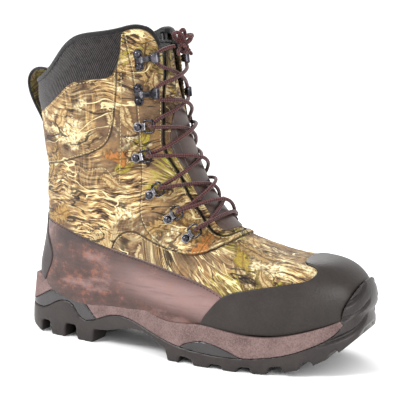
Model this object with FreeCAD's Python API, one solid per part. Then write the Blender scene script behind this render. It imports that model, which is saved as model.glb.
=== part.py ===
"""Insulated lace-up hunting boot for the right foot.

Millimetres.  Lengths along the boot are given from the back of the heel, and the
exported parts are moved so that the origin is under the middle of the boot, on the
ground.  +X points to the toe, -Y to the outer side of the foot, +Z up.
"""
import FreeCAD
import Part
import math
import os

V = FreeCAD.Vector

# ---- where the origin lies, measured from the back of the heel --------------------
ORIGIN_X = 157.7
ORIGIN_Y = 1.4

# ---- layers of the upper, as distances outside (+) or inside (-) its main surface --
FABRIC = -2.0                  # inner face of the outer fabric and leather
STIFFENER = (-2.15, -3.35)     # heel stiffener and toe puff
INSULATION = (-3.5, -6.4)
LINING = (-6.55, -7.5)
FOOTBED_SIDE = -7.9
FACING = (2.2, 0.1)            # strips that carry the lace hardware
TOE_CAP = (2.0, 0.1)
COUNTER = (1.5, 0.1)
BUMPER = (5.0, 2.15)
BINDING = (0.7, -7.6)
BINDING_FRONT = -2.9           # its inner side beside the tongue
BINDING_DEPTH = 3.6            # how far it reaches down from the rim
TONGUE_PATCH = (1.2, 0.45)
TONGUE_COVER = (0.3, -1.05)
TONGUE_PAD = (-1.2, -6.3)
TONGUE_WING = (-3.7, -6.3)
TONGUE_LINING = (-6.45, -7.3)
GUSSET = (-4.6, -5.4)
TONGUE_OVERLAP = 10            # how far the tongue reaches behind the facings
PAD_SETBACK = 1.5              # how far in front of the facings' edge each layer starts
COVER_SETBACK = 4.0
PATCH_SETBACK = 5.0
TONGUE_ROOM = 19               # where the insulation stops, behind the facings' edge

# ---- heights above the feather line, the plane that the upper's lower edge lies in --
BOARD = (0.0, 2.2)
INSULATION_FLOOR = (2.35, 4.9)
LINING_FLOOR = (5.05, 6.0)
FOOTBED_FLOOR = 6.15
SEAM_GAP = 0.25                # room between neighbouring panels

# ---- lace and its hardware ---------------------------------------------------------
LACE_R = 1.7
WIRE_R = 0.9
BARREL_R = 2.1
PIVOT_GAP = 0.3
RING_REACH = 8.6
RING_HALF = 5.2
RING_LIFT = math.radians(15)
PIVOT_C = 5.4
PIVOT_N = 2.85
PLATE_T = 1.0
RIVET_R = 3.1
SHANK_R = 1.2
HOOK_HALF = 2.6

# ---- the upper's main surface: closed rings from the sole up -----------------------
# each ring lies in a plane through a back point and a front point on the boot's
# middle: (back x, back z, front x, front z, outer half-widths, inner half-widths, k)
RINGS = [
    (9, 26, 313, 32, (42, 40, 53, 46), (42, 36, 49, 46), 0.60),
    (6, 42, 317, 54, (43, 41, 54, 47), (43, 37, 50, 47), 0.60),
    (6, 53, 313, 72, (43, 41, 53, 45), (43, 38, 49, 45), 0.61),
    (6, 61, 298, 84.5, (43, 40, 51, 42), (43, 38, 48, 42), 0.63),
    (7, 68, 268, 88.5, (43, 40, 48, 38), (43, 38, 46, 38), 0.66),
    (9, 77, 236, 94, (42, 40, 46, 36), (42, 39, 45, 36), 0.69),
    (12, 88, 206, 107, (42, 40, 44, 35), (42, 40, 43, 35), 0.71),
    (15, 104, 182, 130, (41, 41, 43, 36), (41, 41, 42, 36), 0.72),
    (17, 128, 164, 160, (40, 42, 42, 38), (40, 42, 42, 38), 0.72),
    (17, 160, 151, 193, (41, 43, 42, 38), (41, 43, 42, 38), 0.71),
    (13, 196, 143, 226, (42, 45, 43, 38), (42, 45, 43, 38), 0.70),
    (9, 230, 139, 260, (43, 46, 44, 38), (43, 46, 44, 38), 0.70),
    (11, 262, 133, 292, (42, 45, 44, 37), (42, 45, 44, 37), 0.70),
]
HALF_STEPS = 14

# ---- the sole's outline on the ground, and how far each level is set in -------------
SOLE_OUTLINE = (-4.5, 0, 323, 0, (47, 42, 59, 51), (47, 38, 54, 51), 0.60)
SOLE_LEVELS = [(-3, 1.5), (14, 0), (34, 1.5), (62, 4.5), (88, 8)]
WALL = 4.0                     # depth of the parts that wrap the sole's edge

# ---- side-view lines (x, z), each from back to front or from low to high ------------
RIM = [(-30, 234), (10, 234), (27, 237), (38, 243), (47, 251), (60, 264), (70, 270), (85, 273),
       (110, 277), (122, 279.5), (129, 277), (134, 270), (137, 260)]
COLLAR_SEAM = [(-30, 202), (16, 204), (41, 214), (55, 224), (66, 231), (79, 233.5), (93, 234.5),
               (102, 237), (107, 244), (110, 256), (111, 285)]
SHAFT_SEAM = [(-30, 158), (22, 158), (53, 163), (75, 169), (90, 174.5), (99, 182), (103.5, 193),
              (105.5, 208), (107, 226), (107.5, 243)]
LEATHER_SEAM = [(-30, 113), (20, 109.5), (42, 105), (66, 98), (89, 92.5), (116, 87), (142, 82),
                (168, 76), (192, 70), (213, 61), (232, 48), (246, 30), (250, 20)]
VAMP_SEAM = [(206, 116), (190, 97), (150, 97), (139, 101), (124, 106.5), (108, 100), (100, 84)]
FACING_EDGE = [(137, 300), (137, 262), (139, 239), (140, 217), (142, 197), (145, 176), (152, 163),
               (159, 152), (165, 140), (173, 128), (182, 116), (190, 107.5), (199, 104),
               (208, 107), (216, 116)]
FACING_REAR = [(111.5, 300), (113, 268), (116, 255), (121, 226), (124, 201), (127, 176),
               (129.5, 155), (130, 134), (131, 119), (138, 107), (150, 97.5), (166, 92),
               (184, 90.5), (199, 96), (212, 104)]
TOE_CAP_EDGE = [(189, 26), (195, 41), (202, 50), (213, 61), (230, 67), (250, 71), (272, 75),
                (281, 78.5), (283, 82.5), (278, 85.5), (271, 87), (266, 90), (262, 98)]
COUNTER_EDGE = [(17, 20), (18, 48), (25, 62), (29.5, 74), (27, 84), (21, 98), (20, 113)]
MIDSOLE_TOP = [(-20, 54), (0, 54), (15, 54), (23, 48.5), (31, 44.7), (48, 41.5), (67, 40), (88, 42.5),
               (104, 43.7), (120, 43), (143, 38), (156, 34.5), (170, 34), (195, 35.5), (208, 34),
               (221, 32), (247, 30.5), (261, 32), (276, 35.4), (291, 40), (304, 45.5), (313, 51),
               (340, 60)]
OUTSOLE_TOP = [(-20, 27), (5, 26), (17, 24.5), (24, 27), (34, 32), (46, 34), (53, 31), (59, 24.5),
               (66, 20), (75, 20.5), (94, 27.6), (108, 29.8), (124, 27.7), (147, 20.7), (171, 14.7),
               (195, 12.2), (223, 11.7), (253, 14.8), (268, 18.3), (282, 23.6), (296, 31),
               (305, 40), (310, 55)]
STABILIZER_TOP = [(-20, 28), (7, 32), (23, 40), (35, 45), (46, 47.2), (55, 45.8), (62, 40), (70, 32.6),
                  (77, 26), (84, 20)]
INSERT_TOP = [(172, 10), (176, 16), (184, 19.5), (196, 21.8), (206, 20.6), (218, 17), (233, 11)]
SHANK_X = (62, 188)
PLATE_BOTTOM = [(-20, 12), (30, 12.5), (57, 13.2), (85, 13.2), (103, 16.5), (117, 19.8), (129, 20.5),
                (140, 18.5), (150, 13.8), (160, 9.3), (179, 5.7), (209, 3.9), (238, 5), (256, 7.2),
                (281, 12.4), (295, 18), (308, 27), (318, 37), (330, 52)]
PLATE_T_SOLE = 4.0
GROUND = [(-20, 14), (-2, 8), (6, 2.5), (14, 0.4), (24, 0), (120, 0), (240, 0), (256, 1), (272, 4.4),
          (290, 11), (305, 20.5), (318, 33), (330, 48)]

# ---- lugs under the sole: start and end along the boot ------------------------------
SIDE_LUGS = [(-6, 14), (27, 43), (58, 76), (161, 172), (187, 201), (214, 226), (239, 251),
             (264, 275), (286, 296), (304, 316)]
SIDE_LUG_WIDTH = 24
MIDDLE_LUGS = [(44, 57), (174, 185), (203, 212), (228, 237), (253, 262), (277, 285)]
LUG_DRAFT = 2.0

# ---- lace rows: rivet (x, z), direction of the facing's edge there ------------------
HOOK_ROWS = [((125, 251), (-3, 22)), ((125.5, 222), (-2, 22))]
RING_ROWS = [((126, 195), (-2, 22)), ((125.5, 169), (-5, 22)), ((138.5, 138), (-12, 18)),
             ((155.5, 118.5), (-13, 17)), ((172.5, 103.5), (-14, 14))]


# ---- basic geometry ------------------------------------------------------------------
def cubic(values, p):
    """The cubic through four values at p = 0, 1/3, 2/3 and 1."""
    a, b, c, d = values
    return (-4.5 * a * (p - 1 / 3) * (p - 2 / 3) * (p - 1) + 13.5 * b * p * (p - 2 / 3) * (p - 1)
            - 13.5 * c * p * (p - 1 / 3) * (p - 1) + 4.5 * d * p * (p - 1 / 3) * (p - 2 / 3))


def middle_y(x):
    """The boot's middle line, which swings inward over the forefoot."""
    t = min(max((x - 150) / 170, 0), 1)
    return 9 * t * t * (3 - 2 * t)


def ring_points(ring):
    back_x, back_z, front_x, front_z, outer, inner, k = ring
    points = []
    for step in range(2 * HALF_STEPS):
        angle = math.pi * step / HALF_STEPS
        side = -1 if step <= HALF_STEPS else 1
        p = (1 - math.cos(angle)) / 2
        width = cubic(outer if side < 0 else inner, p)
        x = back_x + (front_x - back_x) * p
        y = side * width * abs(math.sin(angle)) ** k + middle_y(x)
        points.append(V(x, y, back_z + (front_z - back_z) * p))
    return points


def ring_wire(points):
    curve = Part.BSplineCurve()
    knots = [float(i) for i in range(len(points) + 1)]
    curve.interpolate(Points=points, PeriodicFlag=True, Parameters=knots)
    return Part.Wire(curve.toShape())


def offset_rings(rings, distance):
    """Every ring point moved along the surface's normal; the end rings stay flat."""
    last = len(rings) - 1
    moved = []
    for i, ring in enumerate(rings):
        flat = (ring[HALF_STEPS] - ring[0]).cross(V(0, 1, 0)).normalize()
        centre = (ring[0] + ring[HALF_STEPS]) * 0.5
        row = []
        for j, point in enumerate(ring):
            along = ring[(j + 1) % len(ring)] - ring[j - 1]
            up = rings[min(i + 1, last)][j] - rings[max(i - 1, 0)][j]
            normal = along.cross(up)
            if i in (0, last):
                normal = normal - flat * normal.dot(flat)
            normal.normalize()
            if normal.dot(point - centre) < 0:
                normal = -normal
            row.append(point + normal * distance)
        moved.append(row)
    return moved


UPPER_RINGS = [ring_points(ring) for ring in RINGS]
SOLE_RINGS = []
for level, inset in SOLE_LEVELS:
    flat_ring = [V(p.x, p.y, level) for p in ring_points(SOLE_OUTLINE)]
    SOLE_RINGS.append((flat_ring, inset))
made = {}


def upper(distance):
    """The solid inside the upper's main surface moved out by distance."""
    if distance not in made:
        wires = [ring_wire(row) for row in offset_rings(UPPER_RINGS, distance)]
        made[distance] = Part.makeLoft(wires, True, False, False, 5)
    return made[distance]


def sole_block(distance):
    """The whole sole unit's outer shape, moved in by distance."""
    wires = []
    for ring, inset in SOLE_RINGS:
        flat = [V(p.x, p.y, 0) for p in ring]
        grown = offset_rings([flat, [p + V(0, 0, 1) for p in flat]], -inset - distance)[0]
        wires.append(ring_wire([V(p.x, p.y, ring[0].z) for p in grown]))
    return Part.makeLoft(wires, True, False, False, 5)


def layer(outside, inside):
    return upper(outside).cut(upper(inside))


def curve(points):
    """One smooth edge through side-view points."""
    spline = Part.BSplineCurve()
    spline.interpolate([V(x, 0, z) for x, z in points])
    return spline.toShape()


def area(line, *corners, smooth=True):
    """The side-view face between a line and straight runs through further corners."""
    edges = [curve(line)] if smooth else []
    if not smooth:
        for a, b in zip(line, line[1:]):
            edges.append(Part.makeLine(V(a[0], 0, a[1]), V(b[0], 0, b[1])))
    path = [line[-1], *corners, line[0]]
    for a, b in zip(path, path[1:]):
        edges.append(Part.makeLine(V(a[0], 0, a[1]), V(b[0], 0, b[1])))
    return Part.Face(Part.Wire(edges))


def across(face, low=-120, high=120):
    """A side-view face turned into a prism across the boot."""
    return face.translated(V(0, low, 0)).extrude(V(0, high - low, 0))


def shifted(line, distance):
    """A side-view line moved to its left by distance."""
    moved = []
    for i, (x, z) in enumerate(line):
        x0, z0 = line[max(i - 1, 0)]
        x1, z1 = line[min(i + 1, len(line) - 1)]
        length = math.hypot(x1 - x0, z1 - z0)
        moved.append((x - (z1 - z0) / length * distance, z + (x1 - x0) / length * distance))
    return moved


FAR = 420                      # well outside the boot


def half(side, shape):
    """The part of a shape on one side of the boot's middle."""
    low = -FAR if side == "lateral" else 0
    return shape.common(Part.makeBox(2 * FAR, FAR, 2 * FAR, V(-FAR, low, -FAR)))


def feather(height):
    """Everything above the plane of the upper's lower edge, lifted by height."""
    back_x, back_z, front_x, front_z = RINGS[0][:4]
    slope = (front_z - back_z) / (front_x - back_x)
    low = back_z + slope * (-60 - back_x) + height
    high = back_z + slope * (400 - back_x) + height
    return across(area([(-60, low), (400, high)], (400, FAR), (-60, FAR), smooth=False))


# ---- regions seen from the side -------------------------------------------------------
over_rim = across(area(RIM, (200, 260), (200, FAR), (-30, FAR)))
in_front = across(area(FACING_EDGE, (400, 116), (400, 300)))
under_sole_top = across(area(MIDSOLE_TOP, (340, -50), (-20, -50)))
above_outsole = across(area(OUTSOLE_TOP[:-1] + [(310, 55)], (310, 200), (-20, 200)))


def rim_band():
    """The side-view band that the binding covers, on both sides of the rim's line."""
    low = shifted(RIM, -BINDING_DEPTH)
    high = shifted(RIM, 1.6)
    return across(area(high, *low[::-1]))


binding_band = rim_band()


def below_binding(shape):
    return shape.cut(over_rim).cut(binding_band)


def rim_cut(shape):
    return below_binding(shape).cut(in_front)


# ---- the upper's outer panels ------------------------------------------------------------
def outer_panels():
    skin = rim_cut(layer(0, FABRIC))
    leather_area = across(area(LEATHER_SEAM, (250, -20), (-30, -20)))
    leather = skin.common(leather_area)
    cloth = skin.cut(leather_area)
    collar_area = across(area(COLLAR_SEAM, (111, FAR), (-30, FAR)))
    collar = cloth.common(collar_area)
    cloth = cloth.cut(collar_area)
    shaft_area = across(area(SHAFT_SEAM, (107.5, 300), (-30, 300)))
    shaft = cloth.common(shaft_area)
    cloth = cloth.cut(shaft_area)
    vamp_area = across(area(VAMP_SEAM, (100, -20), (400, -20), (400, 116)))
    vamp = cloth.common(vamp_area)
    quarter = cloth.cut(vamp_area)
    return {
        "collar_panel": collar,
        "shaft_panel": shaft,
        "vamp": vamp,
        "quarter_lateral": half("lateral", quarter),
        "quarter_medial": half("medial", quarter),
        "leather_foxing_lateral": half("lateral", leather),
        "leather_foxing_medial": half("medial", leather),
    }


def main_solids(shape, smallest=60):
    """A shape without the crumbs that a cut can leave."""
    solids = [s for s in shape.Solids if s.Volume > smallest]
    return solids[0] if len(solids) == 1 else Part.Compound(solids)


def overlays():
    above_sole = layer(*TOE_CAP).cut(under_sole_top)
    cap_area = across(area(TOE_CAP_EDGE, (262, 140), (400, 140), (400, 0)))
    toe_cap = above_sole.common(cap_area)
    counter_area = across(area(COUNTER_EDGE, (-40, 113), (-40, 20)))
    counter = layer(*COUNTER).cut(under_sole_top).common(counter_area)
    facing_area = across(area(FACING_REAR, (216, 116), (216, 300)))
    facing = rim_cut(layer(*FACING)).common(facing_area)
    beside_tongue = across(area(shifted(FACING_EDGE, -TONGUE_OVERLAP - 2), (400, 116), (400, 330)))
    binding = layer(*BINDING).common(binding_band).cut(in_front)
    binding = binding.cut(upper(BINDING_FRONT).common(beside_tongue))
    return {
        "toe_cap": toe_cap,
        "heel_counter_cover": counter,
        "facing_lateral": half("lateral", facing),
        "facing_medial": half("medial", facing),
        "top_binding": binding,
    }


def lining_parts():
    """What lies inside the outer panels, from the stiffeners to the footbed."""
    behind_tongue = across(area(shifted(FACING_EDGE, -TONGUE_ROOM), (400, 116), (400, 330)))
    heel_area = across(area([(-30, 92), (30, 92), (62, 74), (84, 50), (88, 20)], (-30, 20)))
    toe_area = across(area([(268, 20), (262, 60), (262, 110)], (400, 110), (400, 20)))
    stiffener = layer(*STIFFENER).common(feather(BOARD[0]))
    board = upper(STIFFENER[0]).common(feather(BOARD[0])).cut(feather(BOARD[1]))
    parts = {
        "heel_stiffener": stiffener.common(heel_area).common(feather(BOARD[1] + SEAM_GAP)),
        "toe_puff": stiffener.common(toe_area).common(feather(BOARD[1] + SEAM_GAP)),
        "insole_board": board,
    }
    for name, sides, floor in (("insulation", INSULATION, INSULATION_FLOOR),
                               ("lining", LINING, LINING_FLOOR)):
        outside = upper(sides[0]).common(feather(floor[0]))
        inside = upper(sides[1]).common(feather(floor[1]))
        parts[name] = below_binding(outside.cut(inside)).cut(behind_tongue)
    footbed_top = across(area([(-20, 41), (40, 39.5), (90, 42.5), (140, 45.5), (200, 43.5),
                               (260, 43), (330, 46)], (330, 0), (-20, 0)))
    footbed = upper(FOOTBED_SIDE).common(feather(FOOTBED_FLOOR)).common(footbed_top)
    parts["footbed"] = footbed
    return parts


# ---- the sole unit ------------------------------------------------------------------------
def lug(x0, x1, y0, y1):
    """A tapered block from the ground up into the sole plate."""
    def height(line, x):
        for (xa, za), (xb, zb) in zip(line, line[1:]):
            if xa <= x <= xb:
                return za + (zb - za) * (x - xa) / (xb - xa)
    top0 = height(PLATE_BOTTOM, x0) + 1.5
    top1 = height(PLATE_BOTTOM, x1) + 1.5
    corners = [(x0, height(GROUND, x0)), (x1, height(GROUND, x1)),
               (x1 + LUG_DRAFT, top1), (x0 - LUG_DRAFT, top0)]
    return across(area(corners, smooth=False), y0, y1)


def sole_unit():
    block = sole_block(0)
    core = sole_block(WALL)
    body = block.common(across(area(PLATE_BOTTOM, (340, 56), (340, 200), (-20, 200))))
    body = body.common(under_sole_top).cut(upper(0.1).common(feather(0)))
    plate_top = [(x, z + PLATE_T_SOLE) for x, z in PLATE_BOTTOM]
    plate_area = across(area(plate_top, (330, -60), (-20, -60)))
    base = body.cut(above_outsole).cut(core.cut(plate_area))
    stabilizer_area = across(area(STABILIZER_TOP, (84, -60), (-20, -60)))
    insert_area = across(area(INSERT_TOP, (233, -60), (172, -60)))
    upper_wall = body.cut(core).common(above_outsole)
    stabilizer = upper_wall.common(stabilizer_area)
    inserts = upper_wall.common(insert_area)
    bumper_area = across(area([(296, 20), (304, 46), (307, 56), (312, 67), (318, 80)],
                              (400, 80), (400, 20)))
    bumper = layer(*BUMPER).common(bumper_area)
    midsole = body.cut(base).cut(stabilizer).cut(inserts).cut(bumper)
    shank_area = Part.makeBox(SHANK_X[1] - SHANK_X[0], 18, 40, V(SHANK_X[0], -9, 10))
    shank = shank_area.common(feather(-2.2)).cut(feather(-0.2))
    midsole = midsole.cut(shank)

    lugs = []
    for x0, x1 in SIDE_LUGS:
        middle = middle_y((x0 + x1) / 2)
        lugs.append(lug(x0, x1, -90, middle - 12))
        lugs.append(lug(x0, x1, middle + 12, 90))
    for x0, x1 in MIDDLE_LUGS:
        middle = middle_y((x0 + x1) / 2)
        lugs.append(lug(x0, x1, middle - 9, middle + 9))
    lugs = [block.common(one) for one in lugs]
    outsole = base.fuse(bumper).fuse(lugs)
    return {
        "outsole": outsole,
        "midsole": midsole,
        "heel_stabilizer": stabilizer,
        "forefoot_insert_lateral": half("lateral", inserts),
        "forefoot_insert_medial": half("medial", inserts),
        "shank": shank,
    }


def strap(path, thickness, low, high):
    """A flat strap whose edge follows a side-view path, from y = low to y = high."""
    other = shifted(path, thickness)
    edges = [curve(path), curve(other)]
    for a, b in ((path[0], other[0]), (path[-1], other[-1])):
        edges.append(Part.makeLine(V(a[0], 0, a[1]), V(b[0], 0, b[1])))
    face = Part.Face(Part.Wire(Part.__sortEdges__(edges)))
    return across(face, low, high)


def tongue_parts():
    """The padded tongue, its cover, its leather patch and the folds at its sides."""
    top = across(area([(60, 262), (110, 266), (150, 270)], (150, 400), (60, 400)))
    patch_top = across(area([(60, 252), (110, 256), (160, 261)], (160, 400), (60, 400)))
    front = across(area(shifted(FACING_EDGE, PAD_SETBACK), (400, 116), (400, 300)))
    cover_front = across(area(shifted(FACING_EDGE, COVER_SETBACK), (400, 116), (400, 300)))
    patch_front = across(area(shifted(FACING_EDGE, PATCH_SETBACK), (400, 116), (400, 300)))
    behind = across(area(shifted(FACING_EDGE, -TONGUE_OVERLAP), (400, 116), (400, 330)))
    fold = across(area(shifted(FACING_EDGE, -TONGUE_ROOM + 0.3), (400, 116), (400, 330)))
    inner = across(area(shifted(FACING_EDGE, -TONGUE_OVERLAP - 0.3), (400, 116), (400, 330)))
    pad = layer(*TONGUE_PAD).common(front).fuse(layer(*TONGUE_WING).common(behind)).cut(top)
    cover = layer(*TONGUE_COVER).common(cover_front).cut(top)
    middle = Part.makeBox(400, 26, 400, V(0, -14, 0))
    patch = layer(*TONGUE_PATCH).common(patch_front).cut(patch_top).common(middle)
    gusset = below_binding(layer(*GUSSET).common(fold).cut(inner))
    return {
        "tongue_pad": pad,
        "tongue_cover": cover,
        "tongue_patch": patch,
        "tongue_lining": layer(*TONGUE_LINING).common(behind).cut(top),
        "gusset_lateral": half("lateral", gusset),
        "gusset_medial": half("medial", gusset),
    }


PULL_LOOP = [(14.2, 179), (12.6, 191), (7.5, 202), (1, 213), (-4, 225), (-4.6, 234), (-0.5, 240.5),
             (7, 243), (14.5, 241), (18.5, 234), (19.2, 222)]


# ---- lace hardware --------------------------------------------------------------------------
def frame_on_facing(row, side):
    """A row's place on the facing: its point, and the directions towards the middle of
    the boot, along the facing's edge and straight out of the surface."""
    (x, z), (dx, dz) = row
    sign = -1 if side == "lateral" else 1
    face = max(upper(FACING[0]).Faces, key=lambda f: f.Area)
    pin = Part.makeLine(V(x, 5 * sign, z), V(x, 90 * sign, z))
    points, info = pin.distToShape(face)[1:]
    u, v = info[0][5]
    out = face.normalAt(u, v)
    if out.y * sign < 0:
        out = -out
    edge = V(dx, -(out.x * dx + out.z * dz) / out.y, dz).normalize()
    inward = edge.cross(out).normalize()
    if inward.x < 0:
        inward = -inward
    return points[0][0], inward, out.cross(inward), out


def placed(shape, frame):
    point, c, t, n = frame
    matrix = FreeCAD.Matrix(c.x, t.x, n.x, point.x, c.y, t.y, n.y, point.y,
                            c.z, t.z, n.z, point.z, 0, 0, 0, 1)
    moved = shape.copy()
    moved.Placement = FreeCAD.Placement(matrix).multiply(shape.Placement)
    return moved


def rivet(t=0):
    """A domed rivet through a plate, the facing and the quarter, clinched behind."""
    dome_height = 1.7
    dome_r = (RIVET_R ** 2 + dome_height ** 2) / (2 * dome_height)
    base = 0.15 + PLATE_T
    ball = Part.makeSphere(dome_r, V(0, t, base + dome_height - dome_r))
    head = ball.common(Part.makeCylinder(RIVET_R + 1, 5, V(0, t, base)))
    shank = Part.makeCylinder(SHANK_R, base + 5.0, V(0, t, -5.0))
    clinch = Part.makeCylinder(2.2, 0.7, V(0, t, -5.1))
    return head.fuse([shank, clinch])


def shank_hole(t=0):
    return Part.makeCylinder(SHANK_R + 0.05, 14, V(0, t, -7))


def bar(c0, c1, half_t, low, high):
    return Part.makeBox(c1 - c0, 2 * half_t, high - low, V(c0, -half_t, low))


def clip():
    """A folded strap whose end curls round the ring's pivot."""
    low, high = 0.15, 0.15 + PLATE_T
    plate = bar(-1, PIVOT_C, 3.0, low, high).fuse(Part.makeCylinder(4.0, PLATE_T, V(0, 0, low)))
    barrel = Part.makeCylinder(BARREL_R, 6.0, V(PIVOT_C, -3.0, PIVOT_N), V(0, 1, 0))
    bore = Part.makeCylinder(WIRE_R + PIVOT_GAP, 20, V(PIVOT_C, -10, PIVOT_N), V(0, 1, 0))
    return plate.fuse(barrel).cut(bore).cut(shank_hole())


def wire_loop():
    """The swivelling ring: a rounded rectangle of wire with its pivot bar at c = 0."""
    r = 2.0
    h = RING_HALF
    reach = RING_REACH
    corners = [(0, -h), (reach, -h), (reach, h), (0, h)]
    edges = []
    for i, (c, t) in enumerate(corners):
        c0, t0 = corners[i - 1]
        c1, t1 = corners[(i + 1) % 4]
        back = V(c0 - c, t0 - t, 0).normalize()
        ahead = V(c1 - c, t1 - t, 0).normalize()
        start = V(c, t, 0) + back * r
        end = V(c, t, 0) + ahead * r
        middle = V(c, t, 0) + (back + ahead) * (r * (1 - math.sqrt(0.5)))
        edges.append(Part.Arc(start, middle, end).toShape())
        after = V(c1, t1, 0) - ahead * r
        edges.append(Part.makeLine(end, after))
    path = Part.Wire(Part.__sortEdges__(edges))
    section = Part.Wire(Part.makeCircle(WIRE_R, V(0, 0, 0), V(0, 1, 0)))
    loop = path.makePipeShell([section], True, True)
    loop.rotate(V(0, 0, 0), V(0, 1, 0), -math.degrees(RING_LIFT))
    return loop.translated(V(PIVOT_C, 0, PIVOT_N))


HOOK_C = 14.6                  # where the hook's bend is centred
HOOK_IN = 2.3                  # inner radius of the bend
HOOK_LACE_C = 14.1
HOOK_LACE_N = 0.15 + PLATE_T + HOOK_IN
HOOK_RIVET_T = 5.2


def speed_hook():
    """A riveted plate whose front folds outward and back over the lace."""
    low, high = 0.15, 0.15 + PLATE_T
    ends = [Part.makeCylinder(4.0, PLATE_T, V(0, t, low)) for t in (-HOOK_RIVET_T, HOOK_RIVET_T)]
    plate = bar(-4, 4, HOOK_RIVET_T, low, high).fuse(ends).fuse(bar(0, HOOK_C, HOOK_HALF, low, high))
    start = V(HOOK_C, -HOOK_HALF, HOOK_LACE_N)
    outer = Part.makeCylinder(HOOK_IN + PLATE_T, 2 * HOOK_HALF, start, V(0, 1, 0))
    inner = Part.makeCylinder(HOOK_IN, 2 * HOOK_HALF, start, V(0, 1, 0))
    bend = outer.cut(inner).cut(bar(0, HOOK_C, 9, -1, 12))
    lip_low = HOOK_LACE_N + HOOK_IN
    lip = bar(HOOK_C - 5.5, HOOK_C, HOOK_HALF, lip_low, lip_low + PLATE_T)
    hook = plate.fuse([bend, lip])
    return hook.cut(shank_hole(-HOOK_RIVET_T)).cut(shank_hole(HOOK_RIVET_T))


def hardware():
    """All lace hardware, and the holes that its rivets need in the panels."""
    hooks, hook_rivets, clips, ring_rivets, holes = [], [], [], [], []
    rings = {}
    for side in ("lateral", "medial"):
        for row in HOOK_ROWS:
            frame = frame_on_facing(row, side)
            hooks.append(placed(speed_hook(), frame))
            for t in (-HOOK_RIVET_T, HOOK_RIVET_T):
                hook_rivets.append(placed(rivet(t), frame))
                holes.append(placed(shank_hole(t), frame))
        for number, row in enumerate(RING_ROWS, start=3):
            frame = frame_on_facing(row, side)
            clips.append(placed(clip(), frame))
            ring_rivets.append(placed(rivet(), frame))
            holes.append(placed(shank_hole(), frame))
            rings["lace_ring_%s_%d" % (side, number)] = placed(wire_loop(), frame)
    groups = {
        "speed_hooks": Part.Compound(hooks),
        "hook_rivets": Part.Compound(hook_rivets),
        "ring_clips": Part.Compound(clips),
        "ring_rivets": Part.Compound(ring_rivets),
    }
    groups.update(rings)
    return groups, holes


# ---- the lace ----------------------------------------------------------------------------
# where the lace turns round the far bar of each ring or inside each hook, from the lowest
# row up: (x, distances from the middle on the outer and inner sides, z) and the
# direction of the bar there
TURNS = [((183, 35.2, 34.1, 113.4), (-0.70, -0.15, 0.70)),
         ((167.1, 36.7, 35.7, 127.4), (-0.61, -0.02, 0.79)),
         ((150.7, 38.8, 38.6, 146.1), (-0.55, 0.03, 0.83)),
         ((139.7, 38.8, 39, 172.3), (-0.22, -0.03, 0.97)),
         ((140.5, 34.6, 34.5, 196.3), (-0.09, -0.06, 0.99)),
         ((139.4, 29.3, 29.3, 223.2), (-0.09, -0.01, 1)),
         ((138.5, 27.2, 27.2, 252.9), (-0.14, -0.02, 0.99))]
# where the two strands cross on the tongue's ridge, and the first bar's own place
CROSSINGS = [(192, 119), (185, 127), (173.5, 143), (162, 165), (152, 190), (146.5, 213),
             (141.5, 239)]
RIDGE = [(206, 107), (182, 130), (164, 160), (151, 193), (143, 226), (139, 260)]
FIRST_HOOK = 5                 # rows from this one up are hooks
LACE_UNDER = 4.7               # height of a strand's middle over the ridge
LACE_OVER = 8.6
TURN_R = 3.2
HUMP_Y = 9
HUMP_RISE = 3.4
SHOULDER_Y = 30.9              # where a strand passes over the facing's edge
SHOULDER_DROP = 9.3
SHOULDER_RISE = 10.5
HOOK_TURN_T = 6.3
KNOT = (150, 0, 265)
KNOT_SIZE = (8.5, 13, 12)


def ridge_frame(place):
    """The directions up along the tongue's ridge and straight out of it."""
    i = max(j for j in range(len(RIDGE) - 1) if RIDGE[j][1] <= place[1] + 0.5 or j == 0)
    up = V(RIDGE[i + 1][0] - RIDGE[i][0], 0, RIDGE[i + 1][1] - RIDGE[i][1]).normalize()
    return up, V(up.z, 0, -up.x)


def hump(crossing, side, height, rise):
    """A strand's point beside the ridge, on one side, at a height over it."""
    x, z = CROSSINGS[crossing]
    up, out = ridge_frame((x, z))
    y = middle_y(x) + side * HUMP_Y
    return V(x, y, z) + out * height + up * rise


def shoulder(crossing, side):
    """A strand's point over the facing's edge, below the ridge on one side."""
    x, z = CROSSINGS[crossing]
    up, out = ridge_frame((x, z))
    y = middle_y(x) + side * SHOULDER_Y
    return V(x, y, z) - out * SHOULDER_DROP - up * SHOULDER_RISE


def turn_points(row, side, before, after):
    """A strand's turn at one row: in over the ring's bar and out under it, or up
    through a hook."""
    (x, outer, inner, z), (tx, ty, tz) = TURNS[row]
    y = outer if side < 0 else inner
    place = V(x, middle_y(x) + side * y, z)
    along = V(tx, side * ty, tz).normalize()
    if row >= FIRST_HOOK:
        return [place - along * HOOK_TURN_T, place + along * HOOK_TURN_T]
    inward = (before + after) * 0.5 - place
    inward = (inward - along * inward.dot(along)).normalize()
    out = inward.cross(along)
    if out.x + out.y * side < 0:
        out = -out
    points = []
    for angle, slide in ((30, -1.0), (90, -0.2), (150, 0.6), (210, 1.4)):
        a = math.radians(angle)
        reach = TURN_R / math.cos(math.radians(30))
        points.append(place + (out * math.cos(a) - inward * math.sin(a)) * reach + along * slide)
    return points


def half_lace(side):
    """One end of the lace, from the first bar up to the knot."""
    points = []
    before = hump(0, side, LACE_UNDER, 0)
    for row in range(len(TURNS)):
        over = (row % 2 == 0) == (side > 0)
        height = LACE_OVER if over else LACE_UNDER
        if row + 1 < len(CROSSINGS):
            leave = [hump(row + 1, side, height, -HUMP_RISE)]
            if row < FIRST_HOOK:
                leave.insert(0, shoulder(row + 1, side))
            arrive = hump(row + 1, -side, height, HUMP_RISE)
        else:
            leave = [V(KNOT[0] - 3, side * 9, KNOT[2] - 2)]
            arrive = None
        points += [before] + turn_points(row, side, before, leave[0]) + leave
        before = arrive
        side = -side
    return points


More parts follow.
